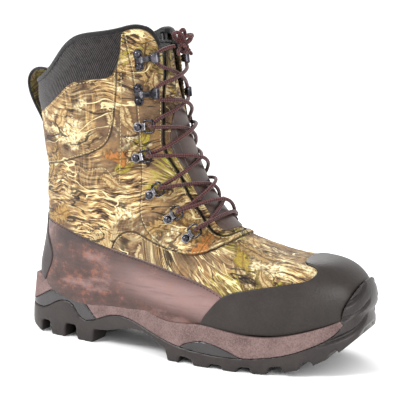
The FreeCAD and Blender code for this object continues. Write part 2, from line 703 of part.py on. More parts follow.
def tube(points, radius):
    """A round cord along straight runs joined by arcs as large as the runs allow."""
    edges = []
    start = points[0]
    radii = []
    for i in range(1, len(points) - 1):
        a = points[i - 1] - points[i]
        b = points[i + 1] - points[i]
        turn = math.pi - a.getAngle(b)
        cut = 0.45 * min(a.Length, b.Length)
        radii.append(cut / math.tan(turn / 2))
        enter = points[i] + a.normalize() * cut
        leave = points[i] + b.normalize() * cut
        bisector = (a + b).normalize()
        middle = points[i] + bisector * (radii[-1] * (1 / math.cos(turn / 2) - 1))
        edges.append(Part.makeLine(start, enter))
        edges.append(Part.Arc(enter, middle, leave).toShape())
        start = leave
    edges.append(Part.makeLine(start, points[-1]))
    path = Part.Wire(edges)
    along = points[1] - points[0]
    section = Part.Wire(Part.makeCircle(radius, points[0], along))
    solid = path.makePipeShell([section], True, False)
    expected = math.pi * radius ** 2 * path.Length
    print("cord: length %.0f, volume %.4f of section times length, radii" % (
        path.Length, solid.Volume / expected), " ".join("%.1f" % r for r in radii))
    return solid


def laces():
    lateral = half_lace(-1)
    medial = half_lace(1)
    cord = tube(lateral[::-1] + medial, LACE_R)
    ball = Part.makeSphere(1)
    matrix = FreeCAD.Matrix()
    matrix.scale(V(*KNOT_SIZE))
    knot = ball.transformGeometry(matrix).translated(V(*KNOT))
    return {"lace": cord, "bow_knot": knot}


def with_holes(parts, holes):
    """Cut the rivets' holes through the panels and stiffening layers they pass."""
    for name in ("facing_lateral", "facing_medial", "quarter_lateral", "quarter_medial"):
        parts[name] = parts[name].cut(holes)


def build():
    parts = outer_panels()
    parts.update(overlays())
    parts.update(lining_parts())
    parts.update(sole_unit())
    parts.update(tongue_parts())
    parts["pull_loop"] = strap(PULL_LOOP, 2.0, -11, 11)
    fittings, holes = hardware()
    with_holes(parts, holes)
    parts.update(fittings)
    parts.update(laces())
    return parts


if __name__ == "__main__":
    os.makedirs("parts", exist_ok=True)
    for name, shape in build().items():
        shape = main_solids(shape).translated(V(-ORIGIN_X, -ORIGIN_Y, 0))
        print(name, len(shape.Solids), "solids, %.0f mm3" % shape.Volume, shape.isValid())
        shape.exportStep("parts/" + name + ".step")
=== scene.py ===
"""Insulated lace-up hunting boot for the right foot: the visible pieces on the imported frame.

The boot is worked out in millimetres from the back of the heel, as its design is, and
every finished mesh is moved to the frame's origin and scaled to metres.
"""
import bpy
import math
import numpy as np
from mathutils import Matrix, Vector


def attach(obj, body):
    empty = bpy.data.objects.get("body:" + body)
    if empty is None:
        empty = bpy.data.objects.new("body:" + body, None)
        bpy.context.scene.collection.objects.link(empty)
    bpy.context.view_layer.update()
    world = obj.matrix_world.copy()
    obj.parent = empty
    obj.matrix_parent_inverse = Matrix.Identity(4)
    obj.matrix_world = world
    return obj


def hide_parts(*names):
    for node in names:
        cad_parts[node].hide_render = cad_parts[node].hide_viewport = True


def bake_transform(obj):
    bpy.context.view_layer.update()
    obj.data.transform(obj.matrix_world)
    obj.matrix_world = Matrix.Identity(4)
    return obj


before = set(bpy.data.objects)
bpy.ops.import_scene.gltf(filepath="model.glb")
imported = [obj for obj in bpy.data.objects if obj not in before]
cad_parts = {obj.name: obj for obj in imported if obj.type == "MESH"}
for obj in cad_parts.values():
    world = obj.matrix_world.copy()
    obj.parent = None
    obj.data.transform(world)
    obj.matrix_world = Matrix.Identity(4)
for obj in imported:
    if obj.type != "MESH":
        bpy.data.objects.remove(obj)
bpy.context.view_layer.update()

MM = 0.001
ORIGIN = np.array([157.7, 1.4, 0.0])     # the frame's origin, from the back of the heel

# ---- the upper's main surface: rings from the sole up --------------------------------------------
# (back x, back z, front x, front z, outer half-widths, inner half-widths, k)
RINGS = [
    (9, 26, 313, 32, (42, 40, 53, 46), (42, 36, 49, 46), 0.60),
    (6, 42, 317, 54, (43, 41, 54, 47), (43, 37, 50, 47), 0.60),
    (6, 53, 313, 72, (43, 41, 53, 45), (43, 38, 49, 45), 0.61),
    (6, 61, 298, 84.5, (43, 40, 51, 42), (43, 38, 48, 42), 0.63),
    (7, 68, 268, 88.5, (43, 40, 48, 38), (43, 38, 46, 38), 0.66),
    (9, 77, 236, 94, (42, 40, 46, 36), (42, 39, 45, 36), 0.69),
    (12, 88, 206, 107, (42, 40, 44, 35), (42, 40, 43, 35), 0.71),
    (15, 104, 182, 130, (41, 41, 43, 36), (41, 41, 42, 36), 0.72),
    (17, 128, 164, 160, (40, 42, 42, 38), (40, 42, 42, 38), 0.72),
    (17, 160, 151, 193, (41, 43, 42, 38), (41, 43, 42, 38), 0.71),
    (13, 196, 143, 226, (42, 45, 43, 38), (42, 45, 43, 38), 0.70),
    (9, 230, 139, 260, (43, 46, 44, 38), (43, 46, 44, 38), 0.70),
    (11, 262, 133, 292, (42, 45, 44, 37), (42, 45, 44, 37), 0.70),
]
SWING, SWING_START, SWING_RUN = 9, 150, 170   # the forefoot's swing inward, from x on, over a run
HALF_STEPS = 14                           # points on each half of a ring
COLUMNS = 2 * HALF_STEPS * 13             # the fine grid, round the boot and up it
ROWS = 190

# ---- side-view lines (x, z) ----------------------------------------------------------------------
RIM = [(-30, 234), (10, 234), (27, 237), (38, 243), (47, 251), (60, 264), (70, 270), (85, 273),
       (110, 277), (122, 279.5), (129, 277), (134, 270), (137, 260)]
COLLAR_SEAM = [(-30, 202), (16, 204), (41, 214), (55, 224), (66, 231), (79, 233.5), (93, 234.5),
               (102, 237), (107, 244), (110, 256), (111, 285)]
SHAFT_SEAM = [(-30, 158), (22, 158), (53, 163), (75, 169), (90, 174.5), (99, 182), (103.5, 193),
              (105.5, 208), (107, 226), (107.5, 243)]
LEATHER_SEAM = [(-30, 113), (20, 109.5), (42, 105), (66, 98), (89, 92.5), (116, 87), (142, 82),
                (168, 76), (192, 70), (213, 61), (232, 48), (246, 30), (250, 20)]
VAMP_SEAM = [(206, 116), (190, 97), (150, 97), (139, 101), (124, 106.5), (108, 100), (100, 84)]
FACING_EDGE = [(137, 300), (137, 262), (139, 239), (140, 217), (142, 197), (145, 176), (152, 163),
               (159, 152), (165, 140), (173, 128), (182, 116), (190, 107.5), (199, 104),
               (208, 107), (216, 116)]
FACING_REAR = [(111.5, 300), (113, 268), (116, 255), (121, 226), (124, 201), (127, 176),
               (129.5, 155), (130, 134), (131, 119), (138, 107), (150, 97.5), (166, 92),
               (184, 90.5), (199, 96), (212, 104)]
TOE_CAP_EDGE = [(189, 26), (195, 41), (202, 50), (213, 61), (230, 67), (250, 71), (272, 75),
                (281, 78.5), (283, 82.5), (278, 85.5), (271, 87), (266, 90), (262, 98)]
COUNTER_EDGE = [(17, 20), (18, 48), (25, 62), (29.5, 74), (27, 84), (21, 98), (20, 113)]
MIDSOLE_TOP = [(-20, 54), (0, 54), (15, 54), (23, 48.5), (31, 44.7), (48, 41.5), (67, 40), (88, 42.5),
               (104, 43.7), (120, 43), (143, 38), (156, 34.5), (170, 34), (195, 35.5), (208, 34),
               (221, 32), (247, 30.5), (261, 32), (276, 35.4), (291, 40), (304, 45.5), (313, 51),
               (340, 60)]
BAND_LINE = [(-30, 116), (21, 113), (42, 111), (60, 107), (86, 102), (123, 94), (151, 89), (171, 84),
             (205, 73), (235, 60), (262, 40)]
ANKLE_LINE = [(-30, 141), (23, 144), (65, 154), (91, 159), (97, 159), (105, 151), (111, 145)]
BOX_TOP = 420


# ---- curves and the surface ----------------------------------------------------------------------
def bends(points, steps, closed):
    """Second differences of the cubic spline through points a given step apart."""
    count = len(points)
    matrix = np.zeros((count, count))
    right = np.zeros_like(points)
    for i in range(count):
        if not closed and i in (0, count - 1):
            matrix[i, i] = 1
            continue
        before, after = (i - 1) % count, (i + 1) % count
        h0, h1 = steps[i - 1], steps[i]
        matrix[i, before] += h0
        matrix[i, i] += 2 * (h0 + h1)
        matrix[i, after] += h1
        right[i] = 6 * ((points[after] - points[i]) / h1 - (points[i] - points[before]) / h0)
    flat = right.reshape(count, -1)
    return np.linalg.solve(matrix, flat).reshape(points.shape)


def spline(points, steps, at, closed=False):
    """The smooth curve through points, at the distances asked for along its steps."""
    points = np.asarray(points, float)
    steps = np.asarray(steps, float)
    second = bends(points, steps, closed)
    knots = np.concatenate([[0], np.cumsum(steps)])
    i = np.clip(np.searchsorted(knots, at, side="right") - 1, 0, len(steps) - 1)
    after = (i + 1) % len(points)
    shape = (-1,) + (1,) * (points.ndim - 1)
    h = steps[i].reshape(shape)
    b = ((at - knots[i]) / steps[i]).reshape(shape)
    a = 1 - b
    return (a * points[i] + b * points[after]
            + ((a ** 3 - a) * second[i] + (b ** 3 - b) * second[after]) * h * h / 6)


def smooth_line(line, parts=8):
    """A side-view line as a fine smooth polyline."""
    line = np.asarray(line, float)
    steps = np.linalg.norm(np.diff(line, axis=0), axis=1)
    at = np.concatenate([np.linspace(0, 1, parts, endpoint=False) * s + k for s, k in
                         zip(steps, np.concatenate([[0], np.cumsum(steps)[:-1]]))])
    return spline(line, steps, np.append(at, steps.sum()))


def cubic(values, p):
    """The cubic through four values at p = 0, 1/3, 2/3 and 1."""
    a, b, c, d = values
    return (-4.5 * a * (p - 1 / 3) * (p - 2 / 3) * (p - 1) + 13.5 * b * p * (p - 2 / 3) * (p - 1)
            - 13.5 * c * p * (p - 1 / 3) * (p - 1) + 4.5 * d * p * (p - 1 / 3) * (p - 2 / 3))


def eased(t):
    """A share from 0 to 1 that starts and ends gently."""
    return t * t * (3 - 2 * t)


def middle_y(x):
    """The boot's middle line, which swings inward over the forefoot."""
    return SWING * eased(np.clip((np.asarray(x, float) - SWING_START) / SWING_RUN, 0, 1))


def ring_points(ring):
    """Points round one ring, from the back along the outer side and home along the inner."""
    back_x, back_z, front_x, front_z, outer, inner, k = ring
    step = np.arange(2 * HALF_STEPS)
    angle = math.pi * step / HALF_STEPS
    p = (1 - np.cos(angle)) / 2
    side = np.where(step <= HALF_STEPS, -1, 1)
    width = np.where(side < 0, cubic(outer, p), cubic(inner, p))
    x = back_x + (front_x - back_x) * p
    y = side * width * np.abs(np.sin(angle)) ** k + middle_y(x)
    return np.stack([x, y, back_z + (front_z - back_z) * p], axis=1)


def surface_grid(rings, columns, rows):
    """A fine grid of points on the surface through closed rings."""
    around = np.arange(columns) * len(rings[0]) / columns
    fine = np.array([spline(ring, np.ones(len(ring)), around, closed=True) for ring in rings])
    steps = np.linalg.norm(np.diff(fine, axis=0), axis=2).mean(axis=1)
    return spline(fine, steps, np.linspace(0, steps.sum(), rows))


def unit(vectors):
    """Vectors scaled to length 1."""
    return vectors / np.linalg.norm(vectors, axis=-1, keepdims=True)


def slopes(grid):
    """The change of a grid's values round it and up it."""
    around = (np.roll(grid, -1, axis=1) - np.roll(grid, 1, axis=1)) / 2
    return around, np.gradient(grid, axis=0)


SKIN = surface_grid([ring_points(ring) for ring in RINGS], COLUMNS, ROWS)
AROUND, UPWARD = slopes(SKIN)
OUT = unit(np.cross(AROUND, UPWARD))
CENTRES = SKIN.mean(axis=1, keepdims=True)
OUT *= np.sign(np.sum(OUT * (SKIN - CENTRES), axis=2).mean())
LATERAL = np.broadcast_to((np.arange(COLUMNS) <= COLUMNS // 2)[None, :], SKIN.shape[:2])


def side_distance(points, line, *corners):
    """Distance from side-view points to a closed outline, positive inside it."""
    outline = np.vstack([smooth_line(line), np.array(corners, float).reshape(-1, 2)])
    x, z = points[..., 0].ravel(), points[..., 2].ravel()
    best = np.full(x.shape, 1e9)
    inside = np.zeros(x.shape, bool)
    for (ax, az), (bx, bz) in zip(outline, np.roll(outline, -1, axis=0)):
        dx, dz = bx - ax, bz - az
        length = dx * dx + dz * dz
        if length < 1e-9:
            continue
        t = np.clip(((x - ax) * dx + (z - az) * dz) / length, 0, 1)
        best = np.minimum(best, (x - ax - t * dx) ** 2 + (z - az - t * dz) ** 2)
        crossing = (az > z) != (bz > z)
        if az != bz:
            inside ^= crossing & (x < dx * (z - az) / dz + ax)
    return (np.sqrt(best) * np.where(inside, 1, -1)).reshape(points.shape[:-1])


def on_surface(field):
    """A side-view distance turned into the distance along the surface near its edge."""
    du, dv = slopes(field[..., None])
    e = np.sum(AROUND * AROUND, axis=2)
    f = np.sum(AROUND * UPWARD, axis=2)
    g = np.sum(UPWARD * UPWARD, axis=2)
    du, dv = du[..., 0], dv[..., 0]
    steep = (g * du * du - 2 * f * du * dv + e * dv * dv) / np.maximum(e * g - f * f, 1e-6)
    return field / np.clip(np.sqrt(np.maximum(steep, 0)), 0.35, 1.0)


def region(line, *corners):
    """How far the grid's points lie inside a side-view outline, along the surface."""
    return on_surface(side_distance(SKIN, line, *corners))


BELOW_RIM = -region(RIM, (200, 260), (200, BOX_TOP), (-30, BOX_TOP))
BEHIND_OPENING = -region(FACING_EDGE, (400, 116), (400, 300))
IN_COLLAR = region(COLLAR_SEAM, (111, BOX_TOP), (-30, BOX_TOP))
IN_SHAFT = region(SHAFT_SEAM, (107.5, 300), (-30, 300))
IN_LEATHER = region(LEATHER_SEAM, (250, -20), (-30, -20))
IN_VAMP = region(VAMP_SEAM, (100, -20), (400, -20), (400, 116))
IN_FACING = region(FACING_REAR, (216, 116), (216, 300))
IN_TOE_CAP = region(TOE_CAP_EDGE, (262, 140), (400, 140), (400, 0))
IN_COUNTER = region(COUNTER_EDGE, (-40, 113), (-40, 20))
ABOVE_SOLE = region(MIDSOLE_TOP, (340, 300), (-20, 300))
ABOVE_BAND = region(BAND_LINE, (262, 300), (-30, 300))
ABOVE_ANKLE = region(ANKLE_LINE, (111, 300), (-30, 300))


def waves(points, length, seed, octaves=3):
    """Smooth uneven waves from about -1 to 1, of a given length in millimetres."""
    rng = np.random.default_rng(seed)
    total = np.zeros(points.shape[:-1])
    for octave in range(octaves):
        for _ in range(6):
            direction = unit(rng.normal(size=3)) * 2 * math.pi / length * 2 ** octave
            total += np.sin(points @ direction + rng.uniform(0, 6.28)) / (6 * 1.5 ** octave)
    return total


# ---- flat coordinates for patterned cloth --------------------------------------------------------
def shaft_flat():
    """Distance round from the back and height, continuous at the back."""
    step = np.linalg.norm(np.roll(SKIN, -1, axis=1) - SKIN, axis=2)
    outward = np.concatenate([np.zeros((ROWS, 1)), np.cumsum(step, axis=1)[:, :-1]], axis=1)
    inward = outward - step.sum(axis=1, keepdims=True)
    round_back = np.where(LATERAL, outward, inward)
    return np.stack([round_back, SKIN[..., 2], round_back * 0], axis=2)


VAMP_AWAY = 400                           # the vamp is cut from another place on the cloth
VAMP_SHARE = 0.86                         # of the distance out and down, as the foot is round


def vamp_flat():
    """Distance along the foot and down from the ridge, continuous at the front."""
    ridge = SKIN[:, COLUMNS // 2]
    order = np.argsort(ridge[:, 0])
    top = np.interp(SKIN[..., 0], ridge[order, 0], ridge[order, 2])
    y = SKIN[..., 1] - middle_y(SKIN[..., 0])
    down = np.abs(y) + np.maximum(top - SKIN[..., 2], 0)
    return np.stack([SKIN[..., 0] + VAMP_AWAY, np.sign(y) * down * VAMP_SHARE, y * 0], axis=2)


# ---- cutting panels out of the grid --------------------------------------------------------------
def grid_triangles():
    """The main surface's grid as triangles."""
    v, u = np.meshgrid(np.arange(ROWS - 1), np.arange(COLUMNS), indexing="ij")
    after = (u + 1) % COLUMNS
    a, b = v * COLUMNS + u, v * COLUMNS + after
    c, d = a + COLUMNS, b + COLUMNS
    lower = np.stack([a, b, d], axis=2).reshape(-1, 3)
    return np.vstack([lower, np.stack([a, d, c], axis=2).reshape(-1, 3)])


TRIANGLES = grid_triangles()
# What the columns of a panel's rows hold.
PLACE = slice(0, 3)
NORMAL = slice(3, 6)
FLAT = slice(6, 9)
FLAT_SEAM = 8
FIELD = 9                                 # the distance to the panel's edge


def split(data, triangles, level):
    """Triangles cut along the line where the field has a level."""
    s = data[:, FIELD] - level
    sign = np.where(np.abs(s) < 0.03, 0, np.sign(s)).astype(int)
    t = sign[triangles]
    crossed = (t.max(axis=1) > 0) & (t.min(axis=1) < 0)
    kept = [triangles[~crossed]]
    cut = triangles[crossed]
    if not len(cut):
        return data, triangles
    edges = np.sort(np.vstack([cut[:, [0, 1]], cut[:, [1, 2]], cut[:, [2, 0]]]), axis=1)
    edges = edges[sign[edges[:, 0]] * sign[edges[:, 1]] < 0]
    edges, inverse = np.unique(edges, axis=0, return_inverse=True)
    share = (s[edges[:, 0]] / (s[edges[:, 0]] - s[edges[:, 1]]))[:, None]
    added = data[edges[:, 0]] * (1 - share) + data[edges[:, 1]] * share
    added[:, FIELD] = level
    new = {(int(a), int(b)): len(data) + i for i, (a, b) in enumerate(edges)}
    pieces = []
    for tri in cut.tolist():
        signs = [sign[i] for i in tri]
        if 0 in signs:
            k = signs.index(0)
            p, q, r = tri[k], tri[(k + 1) % 3], tri[(k + 2) % 3]
            m = new[(min(q, r), max(q, r))]
            pieces += [(p, q, m), (p, m, r)]
            continue
        lone = next(k for k in range(3) if signs[k] not in (signs[k - 1], signs[k - 2]))
        p, q, r = tri[lone], tri[(lone + 1) % 3], tri[(lone + 2) % 3]
        m = new[(min(p, q), max(p, q))]
        n = new[(min(p, r), max(p, r))]
        pieces += [(p, m, n), (m, q, r), (m, r, n)]
    return np.vstack([data, added]), np.vstack(kept + [np.array(pieces)])


def cut_out(field, flat, levels):
    """The part of the grid where the field is above 0, with rows of edges at levels."""
    data = np.concatenate([SKIN, OUT, flat, field[..., None]], axis=2).reshape(-1, FIELD + 1)
    near = data[TRIANGLES, FIELD]
    triangles = TRIANGLES[near.max(axis=1) > 0]
    for level in (0,) + tuple(levels):
        data, triangles = split(data, triangles, level)
        if level == 0:
            triangles = triangles[data[triangles, FIELD].mean(axis=1) > 0]
    used, triangles = np.unique(triangles, return_inverse=True)
    data = data[used]
    data[:, NORMAL] = unit(data[:, NORMAL])
    return data, triangles.reshape(-1, 3)


def loose_edges(triangles):
    """Edges that only one triangle has, in that triangle's direction."""
    edges = np.vstack([triangles[:, [0, 1]], triangles[:, [1, 2]], triangles[:, [2, 0]]])
    ordered = np.sort(edges, axis=1)
    _, first, counts = np.unique(ordered, axis=0, return_index=True, return_counts=True)
    return edges[first[counts == 1]]


def closed_shell(top, bottom, triangles):
    """A closed skin between two copies of the same triangles."""
    count = len(top)
    rim = loose_edges(triangles)
    walls = np.vstack([np.stack([rim[:, 1], rim[:, 0], rim[:, 0] + count], axis=1),
                       np.stack([rim[:, 1], rim[:, 0] + count, rim[:, 1] + count], axis=1)])
    faces = np.vstack([triangles, triangles[:, ::-1] + count, walls])
    return np.vstack([top, bottom]), faces


# ---- making objects ------------------------------------------------------------------------------
def placed(name, data):
    """A new object in the scene."""
    thing = bpy.data.objects.new(name, data)
    bpy.context.collection.objects.link(thing)
    return thing


def in_frame(places):
    """Places in millimetres from the heel as metres in the frame."""
    return (np.asarray(places, float) - ORIGIN) * MM


def add_mesh(name, points, faces, finish, body="boot", flat=None, nodes=()):
    """A finished piece from points in millimetres from the heel."""
    mesh = bpy.data.meshes.new(name)
    faces = faces if isinstance(faces, list) else faces.tolist()
    mesh.from_pydata(in_frame(points).tolist(), [], faces)
    mesh.shade_smooth()
    if flat is not None:
        layer = mesh.attributes.new("flat", "FLOAT_VECTOR", "POINT")
        layer.data.foreach_set("vector", (np.asarray(flat) * MM).astype(np.float32).ravel())
    piece = placed(name, mesh)
    mesh.materials.append(MATERIALS.get(finish) or THREADS[finish])
    if body:
        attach(piece, body)
    if nodes:
        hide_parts(*nodes)
    return piece


EDGE_LEVELS = (0.12, 0.45, 1.0, 2.2)      # rows of edges this far inside a panel's outline
CLOTH_FRAMES = 20
LOOP_HALF, LOOP_FRONT, LOOP_FOOT = 12, 40, 150   # where the pull loop presses the shaft flat
LOOP_FADE = 12


def rounded(distance, radius=1.0):
    """How far a rounded edge has fallen, from 1 at the edge to 0 a radius inside."""
    t = np.clip(1 - distance / radius, 0, 1)
    return 1 - np.sqrt(np.maximum(1 - t * t, 0))


SEAM_SCALE = 10                           # the distance to a seam rides along at this scale
SEAM_REACH = 4                            # and no further in than this
SEAM_HELD = 1.2                           # a simulated panel is pinned this near to its seams


class Cut:
    """A panel's outline and the shape of its two faces, as heights over the main surface."""

    def __init__(self, field, top=0.0, bottom=-1.8, puff=0.0, puff_width=9.0, wrinkle=0.0, length=34,
                 seed=1, flat=None):
        self.field = field
        self.top, self.bottom = top, bottom
        self.puff, self.puff_width = puff, puff_width
        self.wrinkle, self.length, self.seed = wrinkle, length, seed
        self.flat = SHAFT_FLAT if flat is None else flat

    def height(self, d, places):
        """The upper face's height at places a distance d inside the outline."""
        rise = 1 - np.exp(-(d / self.puff_width) ** 2)
        calm = pressed_flat(places)
        height = self.top - rounded(d) * min(1.0, self.top - self.bottom)
        height += self.puff * rise * calm
        return height + self.wrinkle * rise * calm * waves(places, self.length, self.seed)


def pressed_flat(places):
    """1 in the open, 0 under the pull loop, which lies on the shaft's back."""
    away = np.maximum(np.abs(places[:, 1]) - LOOP_HALF, 0) + np.maximum(places[:, 0] - LOOP_FRONT, 0)
    away += np.maximum(LOOP_FOOT - places[:, 2], 0)
    return np.clip(away / LOOP_FADE, 0, 1)


def panel(name, cut, finish, nodes=(), body="boot", pressure=0.0, cap=1.5):
    """A sewn panel: a shell with rounded edges that swells a little between its seams."""
    data, triangles = cut_out(cut.field, cut.flat, EDGE_LEVELS)
    data[:, FLAT_SEAM] = np.clip(data[:, FIELD], 0, SEAM_REACH) / SEAM_SCALE
    places, normals = data[:, PLACE], data[:, NORMAL]
    upper = places + normals * cut.height(data[:, FIELD], places)[:, None]
    if pressure:
        moved = blown_out(upper, triangles, data[:, FIELD] < SEAM_HELD, pressure, cap)
        upper += (moved - upper) * pressed_flat(places)[:, None]
    lower = places + normals * cut.bottom
    points, faces = closed_shell(upper, lower, triangles)
    return add_mesh(name, points, faces, finish, body, np.vstack([data[:, FLAT]] * 2), nodes)


def vectors_of(items, what):
    """A three-part value of each of a mesh's items, one row each."""
    found = np.empty(len(items) * 3, np.float32)
    items.foreach_get(what, found)
    return found.reshape(-1, 3).astype(float)


def set_points(mesh, points):
    """Moves a mesh's points."""
    mesh.vertices.foreach_set("co", points.astype(np.float32).ravel())
    mesh.update()


def with_modifiers_applied(piece):
    """The piece with its modifiers worked into its mesh."""
    depsgraph = bpy.context.evaluated_depsgraph_get()
    made = bpy.data.meshes.new_from_object(piece.evaluated_get(depsgraph))
    piece.modifiers.clear()
    piece.data = made
    return piece


def simulated(piece):
    """The piece's points after its cloth has settled."""
    scene = bpy.context.scene
    for number in range(1, CLOTH_FRAMES + 1):
        scene.frame_set(number)
    settled = piece.evaluated_get(bpy.context.evaluated_depsgraph_get()).data
    return vectors_of(settled.vertices, "co")


def as_cloth(piece, pressure, pins=""):
    """Light cloth under pressure, without gravity, held where it is pinned."""
    cloth = piece.modifiers.new("cloth", "CLOTH")
    settings = cloth.settings
    settings.quality = 5
    settings.mass = 0.3
    settings.tension_stiffness = settings.compression_stiffness = 12
    settings.bending_stiffness = 0.4
    settings.use_pressure = True
    settings.uniform_pressure_force = pressure
    settings.effector_weights.gravity = 0
    settings.vertex_group_mass = pins
    cloth.point_cache.frame_end = CLOTH_FRAMES


def capped(before, after, cap):
    """Moved points, drawn back so that none has moved further than a cap."""
    moved = after - before
    length = np.linalg.norm(moved, axis=1, keepdims=True)
    return before + moved * (cap * np.tanh(length / cap) / np.maximum(length, 1e-9))


def blown_out(points, triangles, held, pressure, cap):
    """Cloth held along its seams and blown out, by no more than a cap."""
    mesh = bpy.data.meshes.new("cloth")
    mesh.from_pydata((points * MM).tolist(), [], triangles.tolist())
    piece = placed("cloth", mesh)
    pins = piece.vertex_groups.new(name="seam")
    pins.add(np.nonzero(held)[0].tolist(), 1.0, "REPLACE")
    as_cloth(piece, pressure, "seam")
    found = simulated(piece) / MM
    bpy.data.objects.remove(piece)
    bpy.data.meshes.remove(mesh)
    return capped(points, found, cap)


def node_points(node):
    """A frame node's points and faces, in metres in the frame."""
    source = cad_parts[node]
    matrix = np.array(source.matrix_world)
    points = vectors_of(source.data.vertices, "co") @ matrix[:3, :3].T + matrix[:3, 3]
    return points, [list(face.vertices) for face in source.data.polygons]


def remeshed(name, node, voxel, smoothing, slot, body="boot"):
    """A frame node's shape as an even fine mesh with softened edges."""
    points, faces = node_points(node)
    mesh = bpy.data.meshes.new(name)
    mesh.from_pydata(points.tolist(), [], faces)
    piece = placed(name, mesh)
    grid = piece.modifiers.new("grid", "REMESH")
    grid.mode = "VOXEL"
    grid.voxel_size = voxel * MM
    soft = piece.modifiers.new("soft", "SMOOTH")
    soft.factor = 0.5
    soft.iterations = smoothing
    made = with_modifiers_applied(piece).data
    bpy.data.meshes.remove(mesh)
    made.name = name
    made.shade_smooth()
    made.materials.clear()
    made.materials.append(MATERIALS[slot])
    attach(piece, body)
    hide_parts(node)
    return piece


SHAFT_FLAT = shaft_flat()
VAMP_FLAT = vamp_flat()


# ---- materials -----------------------------------------------------------------------------------
def colour(r, g, b):
    """A colour given in everyday 0-255 steps, as the linear light a shader uses."""
    def linear(c):
        c /= 255
        return c / 12.92 if c <= 0.04045 else ((c + 0.055) / 1.055) ** 2.4
    return (linear(r), linear(g), linear(b), 1.0)


class Finish:
    """A material whose nodes are added one call at a time."""

    def __init__(self, name, roughness=0.6, metallic=0.0, specular=0.5):
        self.material = bpy.data.materials.new(name)
        self.material.use_nodes = True
        self.tree = self.material.node_tree
        self.shader = self.tree.nodes["Principled BSDF"]
        self.shader.inputs["Roughness"].default_value = roughness
        self.shader.inputs["Metallic"].default_value = metallic
        self.shader.inputs["Specular IOR Level"].default_value = specular

    def put(self, socket, value):
        if isinstance(value, bpy.types.NodeSocket):
            self.tree.links.new(value, socket)
        else:
            socket.default_value = value

    def node(self, kind, inputs=(), out=0, **settings):
        node = self.tree.nodes.new("ShaderNode" + kind)
        for key, value in settings.items():
            setattr(node, key, value)
        for key, value in dict(inputs).items():
            self.put(node.inputs[key], value)
        return node.outputs[out]

    def flat(self):
        return self.node("Attribute", out="Vector", attribute_name="flat")

    def seam(self, flat):
        """Distance to the panel's edge in metres."""
        return self.times(self.split(flat, 2)[1], SEAM_SCALE)

    def painted_gap_shade(self, base, reach, share):
        """Painted shade: a colour darkened where ambient occlusion finds narrow gaps and hollows."""
        open_air = self.node("AmbientOcclusion", {"Distance": reach}, out="AO")
        gap = self.minus(1.0, self.between(open_air, 0.25, 0.8))
        return self.mix(self.times(gap, share), base, GAP_SHADE)

    def place(self):
        return self.node("TexCoord", out="Object")

    def scaled(self, vector, scale, shift=(0, 0, 0), turn=0.0):
        return self.node("Mapping", {"Vector": vector, "Scale": scale, "Location": shift,
                                     "Rotation": (0, 0, turn)})

    def noise(self, vector, scale, detail=3.0, rough=0.55, out="Fac"):
        return self.node("TexNoise", {"Vector": vector, "Scale": scale, "Detail": detail,
                                      "Roughness": rough}, out=out)

    def math(self, operation, a, b=0.0):
        return self.node("Math", {0: a, 1: b}, operation=operation)

    def times(self, a, b):
        return self.math("MULTIPLY", a, b)

    def plus(self, a, b):
        return self.math("ADD", a, b)

    def minus(self, a, b):
        return self.math("SUBTRACT", a, b)

    def cells(self, places, size, randomness=1.0):
        """Scattered cells: places from a cell's middle, and three random shares of each cell."""
        cell = self.tree.nodes.new("ShaderNodeTexVoronoi")
        cell.voronoi_dimensions = "2D"
        self.put(cell.inputs["Vector"], places)
        cell.inputs["Scale"].default_value = 1 / size
        cell.inputs["Randomness"].default_value = randomness
        parts = self.tree.nodes.new("ShaderNodeSeparateColor")
        self.put(parts.inputs[0], cell.outputs["Color"])
        return self.vector("SUBTRACT", places, cell.outputs["Position"]), parts.outputs

    def split(self, vector, second=1):
        """A vector's x, and its y or another part."""
        node = self.tree.nodes.new("ShaderNodeSeparateXYZ")
        self.put(node.inputs[0], vector)
        return node.outputs[0], node.outputs[second]

    def vector(self, operation, a, b=(0, 0, 0)):
        return self.node("VectorMath", {0: a, 1: b}, operation=operation)

    def between(self, value, low, high):
        """0 below low, 1 above high, smooth in between."""
        return self.node("MapRange", {0: value, 1: low, 2: high}, interpolation_type="SMOOTHSTEP")

    def mix(self, share, a, b):
        return self.node("Mix", {0: share, 6: a, 7: b}, out=2, data_type="RGBA")

    def ramp(self, value, stops):
        node = self.tree.nodes.new("ShaderNodeValToRGB")
        self.put(node.inputs[0], value)
        elements = node.color_ramp.elements
        while len(elements) < len(stops):
            elements.new(0.5)
        for element, (place, shade) in zip(elements, stops):
            element.position = place
            element.color = shade
        return node.outputs[0]

    def bump(self, height, depth, strength):
        return self.node("Bump", {"Height": height, "Distance": depth, "Strength": strength})

    def done(self, base, rough=None, normal=None):
        self.put(self.shader.inputs["Base Color"], base)
        if rough is not None:
            self.put(self.shader.inputs["Roughness"], rough)
        if normal is not None:
            self.put(self.shader.inputs["Normal"], normal)
        return self.material


# The colour of the painted shade laid into gaps and hollows.
GAP_SHADE = (0.012, 0.010, 0.010, 1)
CREAM = colour(226, 212, 166)
SAND = colour(192, 164, 112)
TAN = colour(148, 116, 76)
TAUPE = colour(112, 90, 70)
BARK = colour(66, 47, 32)
SHADOW = colour(32, 23, 18)
OCHRE = colour(190, 138, 52)
LEAF_GREEN = colour(178, 178, 66)
RUST = colour(196, 122, 74)
OLIVE = colour(96, 86, 42)


